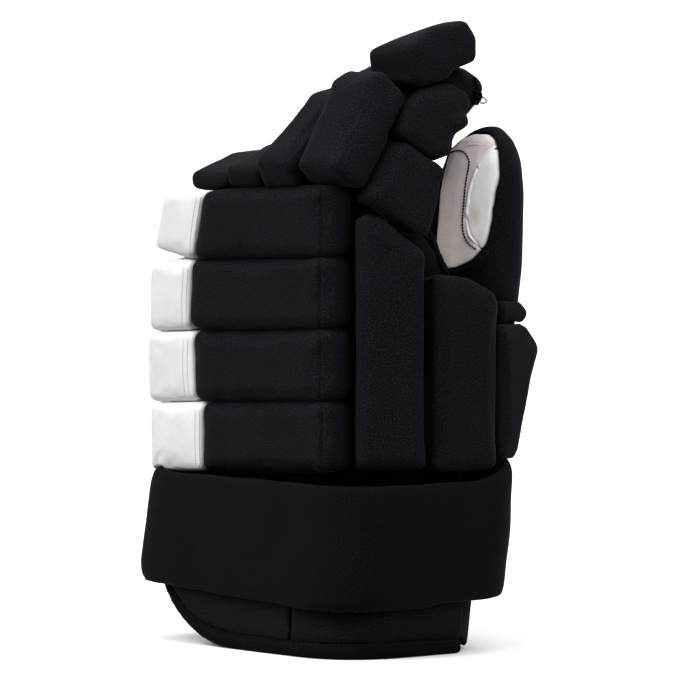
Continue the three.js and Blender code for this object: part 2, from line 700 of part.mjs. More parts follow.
// A slab through the thumb's front wall. Its outline runs between two columns of the window's table.
function windowSolid(rows, leftKey, rightKey, grow) {
  const rings = rows.map((row, i) => {
    const centre = rowAt(THUMB, row.z);
    const z = row.z + (i === 0 ? -grow : 0) + (i === rows.length - 1 ? grow : 0);
    const left = row[leftKey] - grow;
    const right = row[rightKey] + grow;
    return [
      thumbPoint(centre, left, WINDOW_DEPTH - grow, z),
      thumbPoint(centre, right, WINDOW_DEPTH - grow, z),
      thumbPoint(centre, right, WINDOW_REACH, z),
      thumbPoint(centre, left, WINDOW_REACH, z),
    ];
  });
  return toSolid(skin(rings));
}

// Region on the palm side of the parting line, which follows the side seam of the hand and then each
// finger's axis.
function palmRegion() {
  const halves = FINGERS.map((finger, i) => {
    const inner = i === 0 ? PAST_SIDES : (finger.x + FINGERS[i - 1].x) / 2 - PALM_STEP;
    const outer = i === FINGERS.length - 1 ? -PAST_SIDES : (finger.x + FINGERS[i + 1].x) / 2 + PALM_STEP;
    return [{ x: inner, finger }, { x: outer, finger }];
  });
  const rings = halves.flat().map(({ x, finger }) => {
    const reach = THREE.MathUtils.clamp((x - HAND_LEFT) / HAND_WIDTH, 0, 1);
    const axis = finger.axis.slice(2);
    const seamAt = (i) => THREE.MathUtils.lerp(finger.seam, finger.tipSeam, i / (axis.length - 2));
    const [last, tip] = axis.slice(-2).map(([y, z]) => new THREE.Vector2(y, z));
    const end = tip.clone().add(tip.clone().sub(last).setLength(PAST_TIP));
    const profile = [
      ...PALM_SEAM_ROWS.map((row) => [THREE.MathUtils.lerp(row.little, row.thumb, reach), row.z]),
      ...axis.slice(0, -1).map(([y, z], i) => [y + seamAt(i), z - seamAt(i)]),
      [end.x, end.y],
      [end.x + PAST_TIP, end.y - PAST_TIP],
      [PALM_FAR, PALM_LOW],
    ];
    return profile.map(([y, z]) => new THREE.Vector3(x, y, z));
  });
  return skinWithFlatEnds(rings);
}

// A solid widened by a gap along each axis: itself and its shifted copies joined.
function widened(geometry, gap) {
  const shifts = [[gap, 0, 0], [-gap, 0, 0], [0, gap, 0], [0, -gap, 0], [0, 0, gap], [0, 0, -gap]];
  return shifts.reduce((sum, shift) => {
    const shifted = geometry.clone().translate(...shift);
    return sum.add(toSolid(shifted));
  }, toSolid(geometry));
}

// What lies between two lines of (y, z), from one x to another.
function slabBetween(low, high, left, right) {
  const profile = [...low, ...high.toReversed()];
  const rings = [left, right].map((x) => profile.map(([y, z]) => new THREE.Vector3(x, y, z)));
  return toSolid(skinWithFlatEnds(rings));
}

// Like skin, with its two end rings triangulated in their own upright planes, for outlines that aren't
// convex.
function skinWithFlatEnds(rings) {
  const shape = rings.map((ring) => ring.map((p) => new THREE.Vector2(p.y, p.z)));
  const count = rings[0].length;
  const last = (rings.length - 1) * count;
  const faces = [];
  for (let i = 0; i < last; i += count) {
    for (let j = 0; j < count; j += 1) {
      const k = (j + 1) % count;
      faces.push([i + j, i + k, i + k + count], [i + j, i + k + count, i + j + count]);
    }
  }
  for (const [a, b, c] of THREE.ShapeUtils.triangulateShape(shape[0], [])) {
    faces.push(sameTurn(shape[0], [a, b, c]) ? [a, c, b] : [a, b, c]);
  }
  for (const [a, b, c] of THREE.ShapeUtils.triangulateShape(shape[rings.length - 1], [])) {
    const kept = sameTurn(shape[rings.length - 1], [a, b, c]);
    faces.push(kept ? [a + last, b + last, c + last] : [a + last, c + last, b + last]);
  }
  return outward(rings.flat(), faces);
}

// Whether a triangle of an outline's points turns the same way as the outline.
function sameTurn(shape, triangle) {
  const corner = triangle.map((i) => shape[i]);
  return Math.sign(THREE.ShapeUtils.area(corner)) === Math.sign(THREE.ShapeUtils.area(shape));
}

// Perimeter fraction at which a table's outline crosses x on the back of the cuff.
function perimeterFraction(table, x) {
  const route = outlineRoute(rowAt(table, table[1].z), 0);
  const fractions = Array.from({ length: SEARCH_STEPS }, (_, i) => i / SEARCH_STEPS);
  const onBack = fractions.filter((t) => route.getPoint(t).y < 0);
  return onBack.reduce((best, t) => {
    const nearer = Math.abs(route.getPoint(t).x - x) < Math.abs(route.getPoint(best).x - x);
    return nearer ? t : best;
  });
}

// A wall of the cuff, swept through stations of a table's outline, each a fraction of its perimeter.
function cuffWall(table, stations, closed, { wall, edge, lowAt, highAt }) {
  const middle = outlineRoute(rowAt(table, CUFF_MIDDLE), 0);
  const rings = stations.map((t) => {
    const place = middle.getPoint(t);
    const low = lowAt(place.x, place.y);
    const high = highAt(place.x, place.y);
    const half = (low + high) / 2;
    const section = [
      [-edge, low],
      [0, low + edge],
      [0, half],
      [0, high - edge],
      [-edge, high],
      [edge - wall, high],
      [-wall, high - edge],
      [-wall, half],
      [-wall, low + edge],
      [edge - wall, low],
    ];
    return section.map(([grow, z]) => {
      const p = outlineRoute(rowAt(table, z), grow).getPoint(t);
      return new THREE.Vector3(p.x, p.y, z);
    });
  });
  return skin(rings, closed);
}

// Assembly
const glove = new THREE.Group();

function add(name, shape, material) {
  const geometry = shape instanceof THREE.BufferGeometry ? shape : toGeometry(shape);
  const mesh = new THREE.Mesh(geometry, material);
  mesh.name = name;
  glove.add(mesh);
}

// The lined body: hand, fingers and cuff, hollow from the wrist to the fingertips and into the thumb.
const hemOfLiner = (x, y) => {
  const share = THREE.MathUtils.smoothstep(-y, -HEM_SHORT_Y.none, -HEM_SHORT_Y.full);
  return hem(x, y) + HEM_SHORT * share;
};
const handOuter = toSolid(tableSolid(BODY, 0, hemOfLiner, HAND_TOP));
const handGrown = toSolid(tableSolid(BODY, GAP, () => -BELOW_HEM, HAND_TOP + GAP));
const handHollow = toSolid(tableSolid(BODY, -CLOTH, () => -BELOW_HEM, HAND_TOP - CLOTH));
const fingers = FINGERS.map((finger) => ({
  outer: toSolid(fingerSolid(finger, 0)),
  grown: toSolid(fingerSolid(finger, GAP)),
  hollow: toSolid(fingerSolid(finger, -CLOTH)),
}));
const thumbOuter = thumbSolid({ wide: 0, thick: 0, top: 0 });
const thumbGrown = thumbSolid({ wide: -GAP, thick: -GAP, top: -GAP });
const thumbHollow = thumbSolid(THUMB_WALL);

const bodyOuter = fingers.reduce((sum, finger) => sum.add(finger.outer), handOuter);
const bodyGrown = fingers.reduce((sum, finger) => sum.add(finger.grown), handGrown);
const bodyHollow = fingers.reduce((sum, finger) => sum.add(finger.hollow), handHollow).add(thumbHollow);
const body = bodyOuter.subtract(bodyHollow);
const palmSide = palmRegion();
add("palm_leather", body.intersect(toSolid(palmSide)), FINISH.leather);

// The textile part of the body is sewn from the cuff's sleeve, the hand's shell and a stall for each finger.
const textile = body.subtract(widened(palmSide, GAP));
const level = (z) => [[-PALM_FAR, z], [PALM_FAR, z]];
const stallLine = (shift) => STALL_LINE.map(([y, z]) => [y, z + shift]);
const sleeve = slabBetween(level(-BELOW_HEM), level(SLEEVE_TOP - GAP / 2), -PAST_SIDES, PAST_SIDES);
const hand = slabBetween(level(SLEEVE_TOP + GAP / 2), stallLine(-GAP / 2), -PAST_SIDES, PAST_SIDES);
add("cuff_sleeve", textile.intersect(sleeve), FINISH.black);
add("hand_shell", textile.intersect(hand), FINISH.black);
FINGERS.forEach((finger, i) => {
  const thumbward = i === 0 ? PAST_SIDES : (finger.x + FINGERS[i - 1].x - GAP) / 2;
  const littleward = i === FINGERS.length - 1 ? -PAST_SIDES : (finger.x + FINGERS[i + 1].x + GAP) / 2;
  const stall = slabBetween(stallLine(GAP / 2), level(PAST_TOP), littleward, thumbward);
  add(`${finger.name}_stall`, textile.intersect(stall), FINISH.black);
});

// The thumb: a padded black shell with a leather window and a white gusset.
const gussetRows = THUMB_WINDOW.filter((row) => row.right - row.seam > 1);
const thumb = thumbOuter.subtract(thumbHollow).subtract(bodyGrown);
const leatherSlab = windowSolid(THUMB_WINDOW, "left", "seam", -GAP / 2);
const gussetSlab = windowSolid(gussetRows, "seam", "right", -GAP / 2);
const wholeWindow = windowSolid(THUMB_WINDOW, "left", "right", GAP);
add("thumb_shell", thumb.subtract(wholeWindow), FINISH.black);
add("thumb_palm_leather", thumb.intersect(leatherSlab), FINISH.leather);
add("thumb_gusset", thumb.intersect(gussetSlab), FINISH.white);

// The wrist band, open at the top and bottom.
const toCorner = (x, y) => x * FRONT_CORNER[0] + y * FRONT_CORNER[1];
const bandStations = Array.from({ length: PERIMETER_STEPS }, (_, i) => i / PERIMETER_STEPS);
const bandWall = cuffWall(BAND, bandStations, true, {
  wall: BAND_WALL,
  edge: 1.2,
  lowAt: (x, y) => BAND_LOW.middle + BAND_LOW.slope * toCorner(x, y),
  highAt: (x, y) => {
    const rise = BAND_RISE.height * THREE.MathUtils.smoothstep(y, BAND_RISE.from, BAND_RISE.to);
    return BAND_HIGH.middle + BAND_HIGH.slope * toCorner(x, y) + rise;
  },
});
const bandGrown = widened(bandWall, GAP);
add("wrist_band", bandWall, FINISH.black);

// Back rolls, each with its white end sewn on at the little finger side. The lowest pair sits on the band.
const topRolls = [];
for (let i = 0; i < ROLLS; i += 1) {
  const low = ROLL_LOW + ROLL_PITCH * i + ROLL_SEAM / 2;
  const high = low + ROLL_PITCH - ROLL_SEAM;
  const black = rollSolid(low, high, BLACK_STATIONS, ROLL_SHIFTS[i]);
  const white = rollSolid(low, high, WHITE_STATIONS, ROLL_SHIFTS[i]);
  add(`back_roll_${i + 1}`, toSolid(black).subtract(bandGrown), FINISH.black);
  add(`white_roll_end_${i + 1}`, toSolid(white).subtract(bandGrown).subtract(bodyGrown), FINISH.white);
  if (i === ROLLS - 1) {
    topRolls.push(widened(black, GAP), widened(white, GAP));
  }
}

// Blocks on the fingers, seated on the finger under them and on the top rolls.
const fingerSeat = topRolls.reduce((sum, roll) => sum.add(roll), bodyGrown);
for (const block of FINGER_BLOCKS) {
  add(block.name, fingerBlock(block).subtract(fingerSeat), FINISH.black);
}

// Blocks on the thumb side.
for (const block of SIDE_BLOCKS) {
  const seated = sideBlock(block).subtract(thumbGrown).subtract(bodyGrown).subtract(bandGrown);
  add(block.name, seated, FINISH.black);
}

// The cuff flap in two panels, and the tape that binds its hem. The upright seam is at one of its stations.
const flapStep = (FLAP_END - FLAP_START) / FLAP_STEPS;
const stepsToSeam = Math.round((perimeterFraction(FLAP, FLAP_SEAM_X) - FLAP_START) / flapStep);
const seamAt = FLAP_START + stepsToSeam * flapStep;
const seamStations = [seamAt - FLAP_SEAM / 2, seamAt + FLAP_SEAM / 2];
const flapStations = Array.from({ length: FLAP_STEPS + 1 }, (_, i) => FLAP_START + i * flapStep);
const flapParts = [
  { name: "cuff_flap_thumb_side", stations: [...flapStations.slice(0, stepsToSeam), seamStations[0]] },
  { name: "cuff_flap_back", stations: [seamStations[1], ...flapStations.slice(stepsToSeam + 1)] },
];
for (const part of flapParts) {
  const panel = cuffWall(FLAP, part.stations, false, {
    wall: FLAP_WALL,
    edge: 0.6,
    lowAt: (x, y) => hem(x, y) + BINDING + TAPE_GAP,
    highAt: () => FLAP[2].z,
  });
  add(part.name, panel, FINISH.black);
}
const tape = cuffWall(FLAP, flapStations, false, {
  wall: FLAP_WALL,
  edge: 0.8,
  lowAt: hem,
  highAt: (x, y) => hem(x, y) + BINDING,
});
add("hem_binding", tape, FINISH.binding);

// The origin is the middle of the footprint, on the surface that the hem stands on.
const box = new THREE.Box3().setFromObject(glove);
const middle = box.getCenter(new THREE.Vector3());
glove.position.set(-middle.x, -middle.y, -box.min.z);

export default glove;
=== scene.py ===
# Looks of a left-hand field hockey glove that stands on the hem of its cuff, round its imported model.
# Blender works in metres; sizes here are in millimetres and are turned into metres with MM.
# +Z runs from the wrist to the fingers, -Y is the back of the hand, +X the thumb side.

import math
import random

import bmesh
import bpy
import numpy as np
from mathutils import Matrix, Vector, noise
from mathutils.bvhtree import BVHTree


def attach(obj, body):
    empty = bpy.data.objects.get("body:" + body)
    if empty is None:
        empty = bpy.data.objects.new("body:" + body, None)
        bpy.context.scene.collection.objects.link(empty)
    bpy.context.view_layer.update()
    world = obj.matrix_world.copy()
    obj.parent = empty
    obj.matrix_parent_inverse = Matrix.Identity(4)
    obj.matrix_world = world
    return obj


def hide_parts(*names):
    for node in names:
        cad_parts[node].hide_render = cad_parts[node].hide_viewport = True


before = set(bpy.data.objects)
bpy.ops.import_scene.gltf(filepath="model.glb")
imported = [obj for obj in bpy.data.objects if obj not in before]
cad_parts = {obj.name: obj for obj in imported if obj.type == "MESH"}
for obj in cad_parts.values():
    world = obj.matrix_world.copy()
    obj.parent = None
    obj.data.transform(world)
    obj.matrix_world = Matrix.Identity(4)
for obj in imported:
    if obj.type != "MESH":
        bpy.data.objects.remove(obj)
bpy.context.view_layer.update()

MM = 0.001
WELD = 0.01  # vertices closer than this are one
TINY = 1e-9  # keeps a division off zero

# Camera, as the photograph was taken
AZIMUTH = 50
ELEVATION = 3.5
CAMERA_DISTANCE = 3.5
PIXEL = 0.457  # millimetres of the glove for each pixel of the photograph
FRAME_PIXELS = 680
AIM = Vector((8.468, -6.677, 139.5)) * MM
SENSOR = 36


def direction(azimuth, elevation):
    a = math.radians(azimuth)
    e = math.radians(elevation)
    return Vector((math.sin(a) * math.cos(e), -math.cos(a) * math.cos(e), math.sin(e)))


TOWARDS_CAMERA = direction(AZIMUTH, ELEVATION)
CAMERA_PLACE = AIM + TOWARDS_CAMERA * CAMERA_DISTANCE
RIGHT = Vector((math.cos(math.radians(AZIMUTH)), math.sin(math.radians(AZIMUTH)), 0))
UP = TOWARDS_CAMERA.cross(RIGHT)

# Foam pads: how they are remeshed and swollen, and how much of the smoothed-off edges they get back
PAD_SHRINK = 0.1
PAD_CRISPNESS = 0.75
PAD_SOFTENING = 0.35
PAD_PRESSURE = 12
PAD_FRAMES = 20
PAD_SWELL = 0.9
PAD_LOOK = 3 * PAD_SWELL  # how far a swelling pad looks for what it could touch
PAD_WRINKLE = 0.22
PAD_WRINKLE_LENGTH = 16
CLOTH_MASS = 0.1
CLOTH_QUALITY = 5

# How pads grow towards the pads that they face. Each group: how far its pads look, the most that they move,
# and what stays between them and the middle of the gap.
MEETINGS = {"fingers": (9, 4, 0.1), "thumb": (9, 4, 0.1), "rolls": (3, 1.5, 0.04)}
# The groups that the pads of a group grow towards
GROWS_TO = {"fingers": ("fingers", "rolls"), "thumb": ("thumb",), "rolls": ("rolls",)}
ONE_SIDED_CLEARANCE = 0.4  # what stays before a pad that doesn't grow the other way
MEET_ROUNDS = 6  # how far the growth fades out round their edges
WALL_CLEARANCE = 0.15  # what stays between a pad and a wall
RAY_START = 0.05  # rays start this far off their own surface

# Sewn walls: how they are remeshed, smoothed and creased
WALL_SMOOTHING = 0.4
WALL_WRINKLE_LENGTH = 22
FOLD_SEED = 7  # fixes the noise that the folds follow
BAND_SMOOTHING = 30
BAND_REGAIN = 0.5
THINNED = {"cuff_sleeve": 0.18}  # the share of faces that stays on a thin wall, which needs a fine voxel
TAPE_PROUD = 0.5
TAPE_LAP = 0.8

# Stretched corners, in pixels of the photograph. Each row: the pieces that the stretch moves, its middle,
# how far it reaches, and how far it moves them right and down.
PULLS = [
    (("index_stall", "palm_leather", "index_upper_side_pad"), (478, 84), 20, (6, 0)),
    (("index_upper_side_pad",), (460, 123), 13, (7, 1)),
    (("index_upper_side_pad",), (448, 150), 12, (3, 1)),
    (("index_lower_side_pad",), (440, 168), 16, (5, 0)),
]

# The upright crease where each back roll's face ends: its place and half width in pixels, and its depth
CREASES = {"back_roll_4": 321, "back_roll_3": 319.5, "back_roll_2": 320, "back_roll_1": 321.5}
CREASE_HALF_WIDTH = 2.7
CREASE_DEPTH = 1.0
CREASE_FACING = 0.35  # only faces that look at the camera this squarely are creased


# Meshes

def new_piece(name, mesh):
    piece = bpy.data.objects.new(name, mesh)
    bpy.context.scene.collection.objects.link(piece)
    return piece


def copy_of(node, name):
    """The node's mesh with its split vertices joined, as a new object."""
    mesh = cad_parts[node].data.copy()
    mesh.materials.clear()
    work = bmesh.new()
    work.from_mesh(mesh)
    bmesh.ops.remove_doubles(work, verts=work.verts, dist=WELD * MM)
    work.to_mesh(mesh)
    work.free()
    return new_piece(name, mesh)


def apply_modifiers(piece):
    graph = bpy.context.evaluated_depsgraph_get()
    mesh = bpy.data.meshes.new_from_object(piece.evaluated_get(graph))
    piece.modifiers.clear()
    old = piece.data
    piece.data = mesh
    bpy.data.meshes.remove(old)


def remesh(piece, voxel):
    """An even mesh of quads in place of the faceted solid."""
    modifier = piece.modifiers.new("remesh", "REMESH")
    modifier.mode = "VOXEL"
    modifier.voxel_size = voxel * MM
    apply_modifiers(piece)


def smooth(piece, rounds, factor=0.5):
    modifier = piece.modifiers.new("smooth", "SMOOTH")
    modifier.factor = factor
    modifier.iterations = rounds
    apply_modifiers(piece)


def thin_out(piece, share):
    """Fewer faces on an even surface, with its rims kept."""
    modifier = piece.modifiers.new("decimate", "DECIMATE")
    modifier.ratio = share
    apply_modifiers(piece)


def subdivide(piece):
    modifier = piece.modifiers.new("subdivision", "SUBSURF")
    modifier.levels = 1
    modifier.render_levels = 1
    apply_modifiers(piece)


def points_of(mesh):
    flat = np.empty(len(mesh.vertices) * 3)
    mesh.vertices.foreach_get("co", flat)
    return flat.reshape(-1, 3)


def normals_of(mesh):
    flat = np.empty(len(mesh.vertices) * 3)
    mesh.vertices.foreach_get("normal", flat)
    return flat.reshape(-1, 3)


def set_points(mesh, points):
    mesh.vertices.foreach_set("co", points.ravel())
    mesh.update()


def shift_along_normals(piece, distance):
    mesh = piece.data
    set_points(mesh, points_of(mesh) + normals_of(mesh) * distance)


def faces_of(mesh):
    return [list(polygon.vertices) for polygon in mesh.polygons]


def surface_of(piece):
    """A search tree of the piece's faces as they are now."""
    return BVHTree.FromPolygons([Vector(p) for p in points_of(piece.data)], faces_of(piece.data))


def draw_to(piece, surface, share):
    """Moves each vertex by that share of its way to the surface."""
    points = points_of(piece.data)
    nearest = [surface.find_nearest(Vector(p))[0] for p in points]
    set_points(piece.data, points + (np.array(nearest) - points) * share)


def pixels_of(points):
    """Where the points show in the photograph."""
    away = points - np.array(CAMERA_PLACE)
    depth = -(away @ np.array(TOWARDS_CAMERA))
    scale = CAMERA_DISTANCE / (depth * PIXEL * MM)
    x = FRAME_PIXELS / 2 + (away @ np.array(RIGHT)) * scale
    y = FRAME_PIXELS / 2 - (away @ np.array(UP)) * scale
    return x, y


def pull(piece, node):
    """Stretches the piece by the rows that name its node, fading out smoothly round their middles."""
    for nodes, middle, reach, (right, down) in PULLS:
        if node not in nodes:
            continue
        points = points_of(piece.data)
        x, y = pixels_of(points)
        near = np.clip(1 - ((x - middle[0]) ** 2 + (y - middle[1]) ** 2) / reach**2, 0, 1) ** 2
        move = np.array(RIGHT * right - UP * down) * PIXEL * MM
        set_points(piece.data, points + near[:, None] * move)


def crease(piece, place):
    """Presses an upright line into the face that looks at the camera."""
    points = points_of(piece.data)
    normals = normals_of(piece.data)
    x, _ = pixels_of(points)
    near = np.clip(1 - ((x - place) / CREASE_HALF_WIDTH) ** 2, 0, 1) ** 2
    near[normals @ np.array(TOWARDS_CAMERA) < CREASE_FACING] = 0
    set_points(piece.data, points - normals * near[:, None] * CREASE_DEPTH * MM)


def wrinkle(piece, length, height, seed):
    """Soft uneven dents along the surface's own normals."""
    mesh = piece.data
    points = points_of(mesh)
    offset = Vector((seed * 3.7, seed * 1.9, seed * 2.3))
    depths = [noise.noise(Vector(p) / (length * MM) + offset) for p in points]
    set_points(mesh, points + normals_of(mesh) * (np.array(depths) * height * MM)[:, None])


def sway(piece, length, height, seed):
    """Soft folds that move both faces of a thin wall the same way."""
    mesh = piece.data
    points = points_of(mesh)
    offset = Vector((seed * 2.9, seed * 4.1, seed * 1.3))
    moves = [noise.noise_vector(Vector(p) / (length * MM) + offset) for p in points]
    set_points(mesh, points + np.array(moves) * height * MM)


# Materials

class Shader:
    """A node material with one Principled surface."""

    def __init__(self, name, roughness, specular):
        self.material = bpy.data.materials.new(name)
        self.material.use_nodes = True
        self.tree = self.material.node_tree
        self.tree.nodes.clear()
        output = self.node("ShaderNodeOutputMaterial")
        self.surface = self.node("ShaderNodeBsdfPrincipled")
        self.tree.links.new(self.surface.outputs["BSDF"], output.inputs["Surface"])
        self.surface.inputs["Roughness"].default_value = roughness
        self.surface.inputs["Specular IOR Level"].default_value = specular
        place = self.node("ShaderNodeTexCoord")
        self.normal = place.outputs["Normal"]
        self.place = self.stretched(place.outputs["Object"], (1 / MM, 1 / MM, 1 / MM))

    def node(self, kind, settings=None, inputs=None):
        made = self.tree.nodes.new(kind)
        for key, value in (settings or {}).items():
            setattr(made, key, value)
        for key, value in (inputs or {}).items():
            self.put(made.inputs[key], value)
        return made

    def put(self, socket, value):
        if isinstance(value, bpy.types.NodeSocket):
            self.tree.links.new(value, socket)
        else:
            socket.default_value = value

    def math(self, operation, first, second=0.0):
        return self.node("ShaderNodeMath", {"operation": operation}, {0: first, 1: second}).outputs[0]

    def stretched(self, vector, factors):
        made = self.node("ShaderNodeVectorMath", {"operation": "MULTIPLY"}, {0: vector, 1: factors})
        return made.outputs["Vector"]

    def mix(self, factor, first, second):
        """A number between first and second."""
        return self.node("ShaderNodeMix", None, {0: factor, 2: first, 3: second}).outputs[0]

    def mix_colour(self, factor, first, second):
        made = self.node("ShaderNodeMix", {"data_type": "RGBA"}, {0: factor})
        self.put(made.inputs[6], (*first, 1) if isinstance(first, tuple) else first)
        self.put(made.inputs[7], (*second, 1) if isinstance(second, tuple) else second)
        return made.outputs[2]

    def noise(self, vector, scale, detail=2.0, roughness=0.5):
        inputs = {"Vector": vector, "Scale": scale, "Detail": detail, "Roughness": roughness}
        return self.node("ShaderNodeTexNoise", None, inputs).outputs["Fac"]

    def spread(self, value, low, high):
        """value stretched so that low becomes 0 and high 1."""
        inputs = {"Value": value, "From Min": low, "From Max": high}
        return self.node("ShaderNodeMapRange", {"clamp": True}, inputs).outputs["Result"]

    def threads(self):
        """Two directions across any face, in millimetres: along its level line and up its slope."""
        x, y, z = self.split(self.place)
        turned = [self.math("ABSOLUTE", part) for part in self.split(self.normal)]
        sideways = self.math("GREATER_THAN", turned[0], turned[1])
        widest = self.math("MAXIMUM", turned[0], turned[1])
        flat = self.math("GREATER_THAN", turned[2], widest)
        along = self.mix(sideways, x, y)
        across = self.mix(sideways, y, x)
        return along, self.mix(flat, z, across)

    def split(self, vector):
        made = self.node("ShaderNodeSeparateXYZ", None, {0: vector})
        return [made.outputs[i] for i in range(3)]

    def join(self, x, y, z=0.0):
        return self.node("ShaderNodeCombineXYZ", None, {0: x, 1: y, 2: z}).outputs[0]

    def painted_shade_openness(self):
        """Painted shade: from 0 deep in a valley between pieces, where the cloth is painted black, to 1 on
        an open face.
        """
        inputs = {"Distance": PAINTED_SHADE_REACH * MM}
        around = self.node("ShaderNodeAmbientOcclusion", {"samples": PAINTED_SHADE_SAMPLES}, inputs).outputs["AO"]
        return self.spread(around, *PAINTED_SHADE_OPEN)

    def bump(self, height, distance, strength, under=None):
        inputs = {"Height": height, "Distance": distance * MM, "Strength": strength}
        if under is not None:
            inputs["Normal"] = under
        return self.node("ShaderNodeBump", None, inputs).outputs[0]

    def finish(self, colour, normal, roughness=None):
        self.put(self.surface.inputs["Base Color"], colour)
        self.put(self.surface.inputs["Normal"], normal)
        if roughness is not None:
            self.put(self.surface.inputs["Roughness"], roughness)
        return self.material


PAINTED_VALLEY_SHADE = (0.0006, 0.0005, 0.0009)  # painted shade: black put on the cloth deep between the blocks, where shade falls
PAINTED_SHADE_REACH = 20
PAINTED_SHADE_SAMPLES = 8
PAINTED_SHADE_OPEN = (0.45, 0.92)  # how open a place is where the painted shade is full black, and where the cloth has its full colour
FLECK_FINE = 2.3  # streaks of fibre across their length and along it, for each millimetre
FLECK_LONG = 1.4
FLECK_RANGE = (0.4, 0.64)
FLECK_CONTRAST = 2.0
WEAVE_PITCH = 0.9  # millimetres between threads
LINING_PITCH = 0.7
BAND_PITCH = 0.8
WEAVE_SHEEN = 0.03
BAND_SHEEN = 0.01
PATCH_FINE = 0.045  # patches of wear for each millimetre
PATCH_STRENGTH = 0.25
RIB_PITCH = 1.1  # the tape's ribs
GUSSET_DENT = (59.7, 30.7, 197.1)  # the middle of the beige dent in the thumb's white strip
DENT_SHAPE = (1 / 3.2, 1 / 3.2, 1 / 7)
DENT_BEIGE = (0.72, 0.60, 0.47)
DENT_STRENGTH = 0.8


def weave(shader, pitch):
    """Height of a plain weave whose threads lie pitch apart, and the length directions of its threads."""
    along, up = shader.threads()
    turns = math.pi / pitch
    warp = shader.math("SINE", shader.math("MULTIPLY", along, turns))
    weft = shader.math("SINE", shader.math("MULTIPLY", up, turns))
    return shader.math("MULTIPLY", warp, weft), along, up


def heather(shader, along, up, fine, long):
    """Streaks of fibre that run both ways, from 0 to 1."""
    across = shader.join(shader.math("MULTIPLY", along, fine), shader.math("MULTIPLY", up, long))
    upright = shader.join(shader.math("MULTIPLY", along, long), shader.math("MULTIPLY", up, fine), 7.0)
    level_streaks = shader.noise(across, 1.0)
    upright_streaks = shader.noise(upright, 1.0)
    return shader.math("MULTIPLY", shader.math("ADD", level_streaks, upright_streaks), 0.5)


def textile(name, dark, light, pitch=WEAVE_PITCH, sheen=WEAVE_SHEEN):
    """Matt woven polyester in a heathered near-black, with painted shade that turns it black in the valleys
    between pieces.
    """
    shader = Shader(name, roughness=0.9, specular=0.06)
    height, along, up = weave(shader, pitch)
    streaks = heather(shader, along, up, FLECK_FINE, FLECK_LONG)
    flecks = shader.math("POWER", shader.spread(streaks, *FLECK_RANGE), FLECK_CONTRAST)
    patches = shader.noise(shader.place, PATCH_FINE, detail=3.0)
    worn = shader.math("MULTIPLY", shader.math("SUBTRACT", patches, 0.5), PATCH_STRENGTH)
    unshaded_colour = shader.mix_colour(shader.math("ADD", flecks, worn), dark, light)
    # painted shade: the cloth is mixed to black where the valleys between pieces are deep
    colour = shader.mix_colour(shader.painted_shade_openness(), PAINTED_VALLEY_SHADE, unshaded_colour)
    relief = shader.math("ADD", shader.math("MULTIPLY", height, 0.5), streaks)
    normal = shader.bump(relief, 0.1, 0.7)
    shader.surface.inputs["Sheen Weight"].default_value = sheen
    shader.surface.inputs["Sheen Roughness"].default_value = 0.3
    return shader.finish(colour, normal)


def binding_tape(name):
    """Ribbed grosgrain, its ribs running up the tape."""
    shader = Shader(name, roughness=0.9, specular=0.03)
    along, _ = shader.threads()
    ribs = shader.math("SINE", shader.math("MULTIPLY", along, 2 * math.pi / RIB_PITCH))
    fibres = shader.noise(shader.place, 1.6, detail=3.0)
    worn = shader.spread(fibres, 0.3, 0.75)
    colour = shader.mix_colour(worn, (0.0012, 0.001, 0.002), (0.007, 0.006, 0.0085))
    normal = shader.bump(shader.math("ADD", ribs, fibres), 0.18, 0.8)
    return shader.finish(colour, normal)


def white_leather(name, clean, soiled, dent=None):
    """Smooth coated synthetic leather with a fine grain and faint soiling, and a beige dent where given."""
    shader = Shader(name, roughness=0.5, specular=0.35)
    cells = shader.node("ShaderNodeTexVoronoi", {"feature": "F1"}, {"Vector": shader.place, "Scale": 1.5})
    grain = cells.outputs["Distance"]
    folds = shader.noise(shader.place, 0.16, detail=4.0, roughness=0.6)
    soil = shader.noise(shader.place, 0.07, detail=5.0, roughness=0.65)
    colour = shader.mix_colour(shader.spread(soil, 0.35, 0.7), clean, soiled)
    if dent is not None:
        away = shader.node("ShaderNodeVectorMath", {"operation": "SUBTRACT"}, {0: shader.place, 1: dent})
        flattened = shader.stretched(away.outputs["Vector"], DENT_SHAPE)
        length = shader.node("ShaderNodeVectorMath", {"operation": "LENGTH"}, {0: flattened})
        inside = shader.spread(length.outputs["Value"], 1.0, 0.1)
        colour = shader.mix_colour(shader.math("MULTIPLY", inside, DENT_STRENGTH), colour, DENT_BEIGE)
    fine = shader.bump(grain, 0.05, 0.35)
    normal = shader.bump(folds, 0.5, 0.35, under=fine)
    return shader.finish(colour, normal, shader.spread(folds, -0.6, 1.4))


def grey_leather(name):
    """Light grey split leather with a suede-like nap."""
    shader = Shader(name, roughness=0.85, specular=0.15)
    nap = shader.noise(shader.place, 2.4, detail=4.0, roughness=0.7)
    cloud = shader.noise(shader.place, 0.09, detail=4.0, roughness=0.6)
    creases = shader.noise(shader.stretched(shader.place, (0.25, 0.25, 0.5)), 1.0, detail=3.0)
    base = shader.mix_colour(shader.spread(cloud, 0.3, 0.7), (0.60, 0.52, 0.51), (0.80, 0.71, 0.70))
    colour = shader.mix_colour(shader.spread(nap, 0.35, 0.75), base, (0.86, 0.78, 0.77))
    fine = shader.bump(nap, 0.12, 0.5)
    normal = shader.bump(creases, 0.4, 0.4, under=fine)
    shader.surface.inputs["Sheen Weight"].default_value = 0.2
    return shader.finish(colour, normal)


def thread(name, dark, light):
    """Twisted sewing thread."""
    shader = Shader(name, roughness=0.75, specular=0.12)
    twist = shader.noise(shader.place, 3.0, detail=2.0)
    colour = shader.mix_colour(twist, dark, light)
    return shader.finish(colour, shader.bump(twist, 0.06, 0.6))


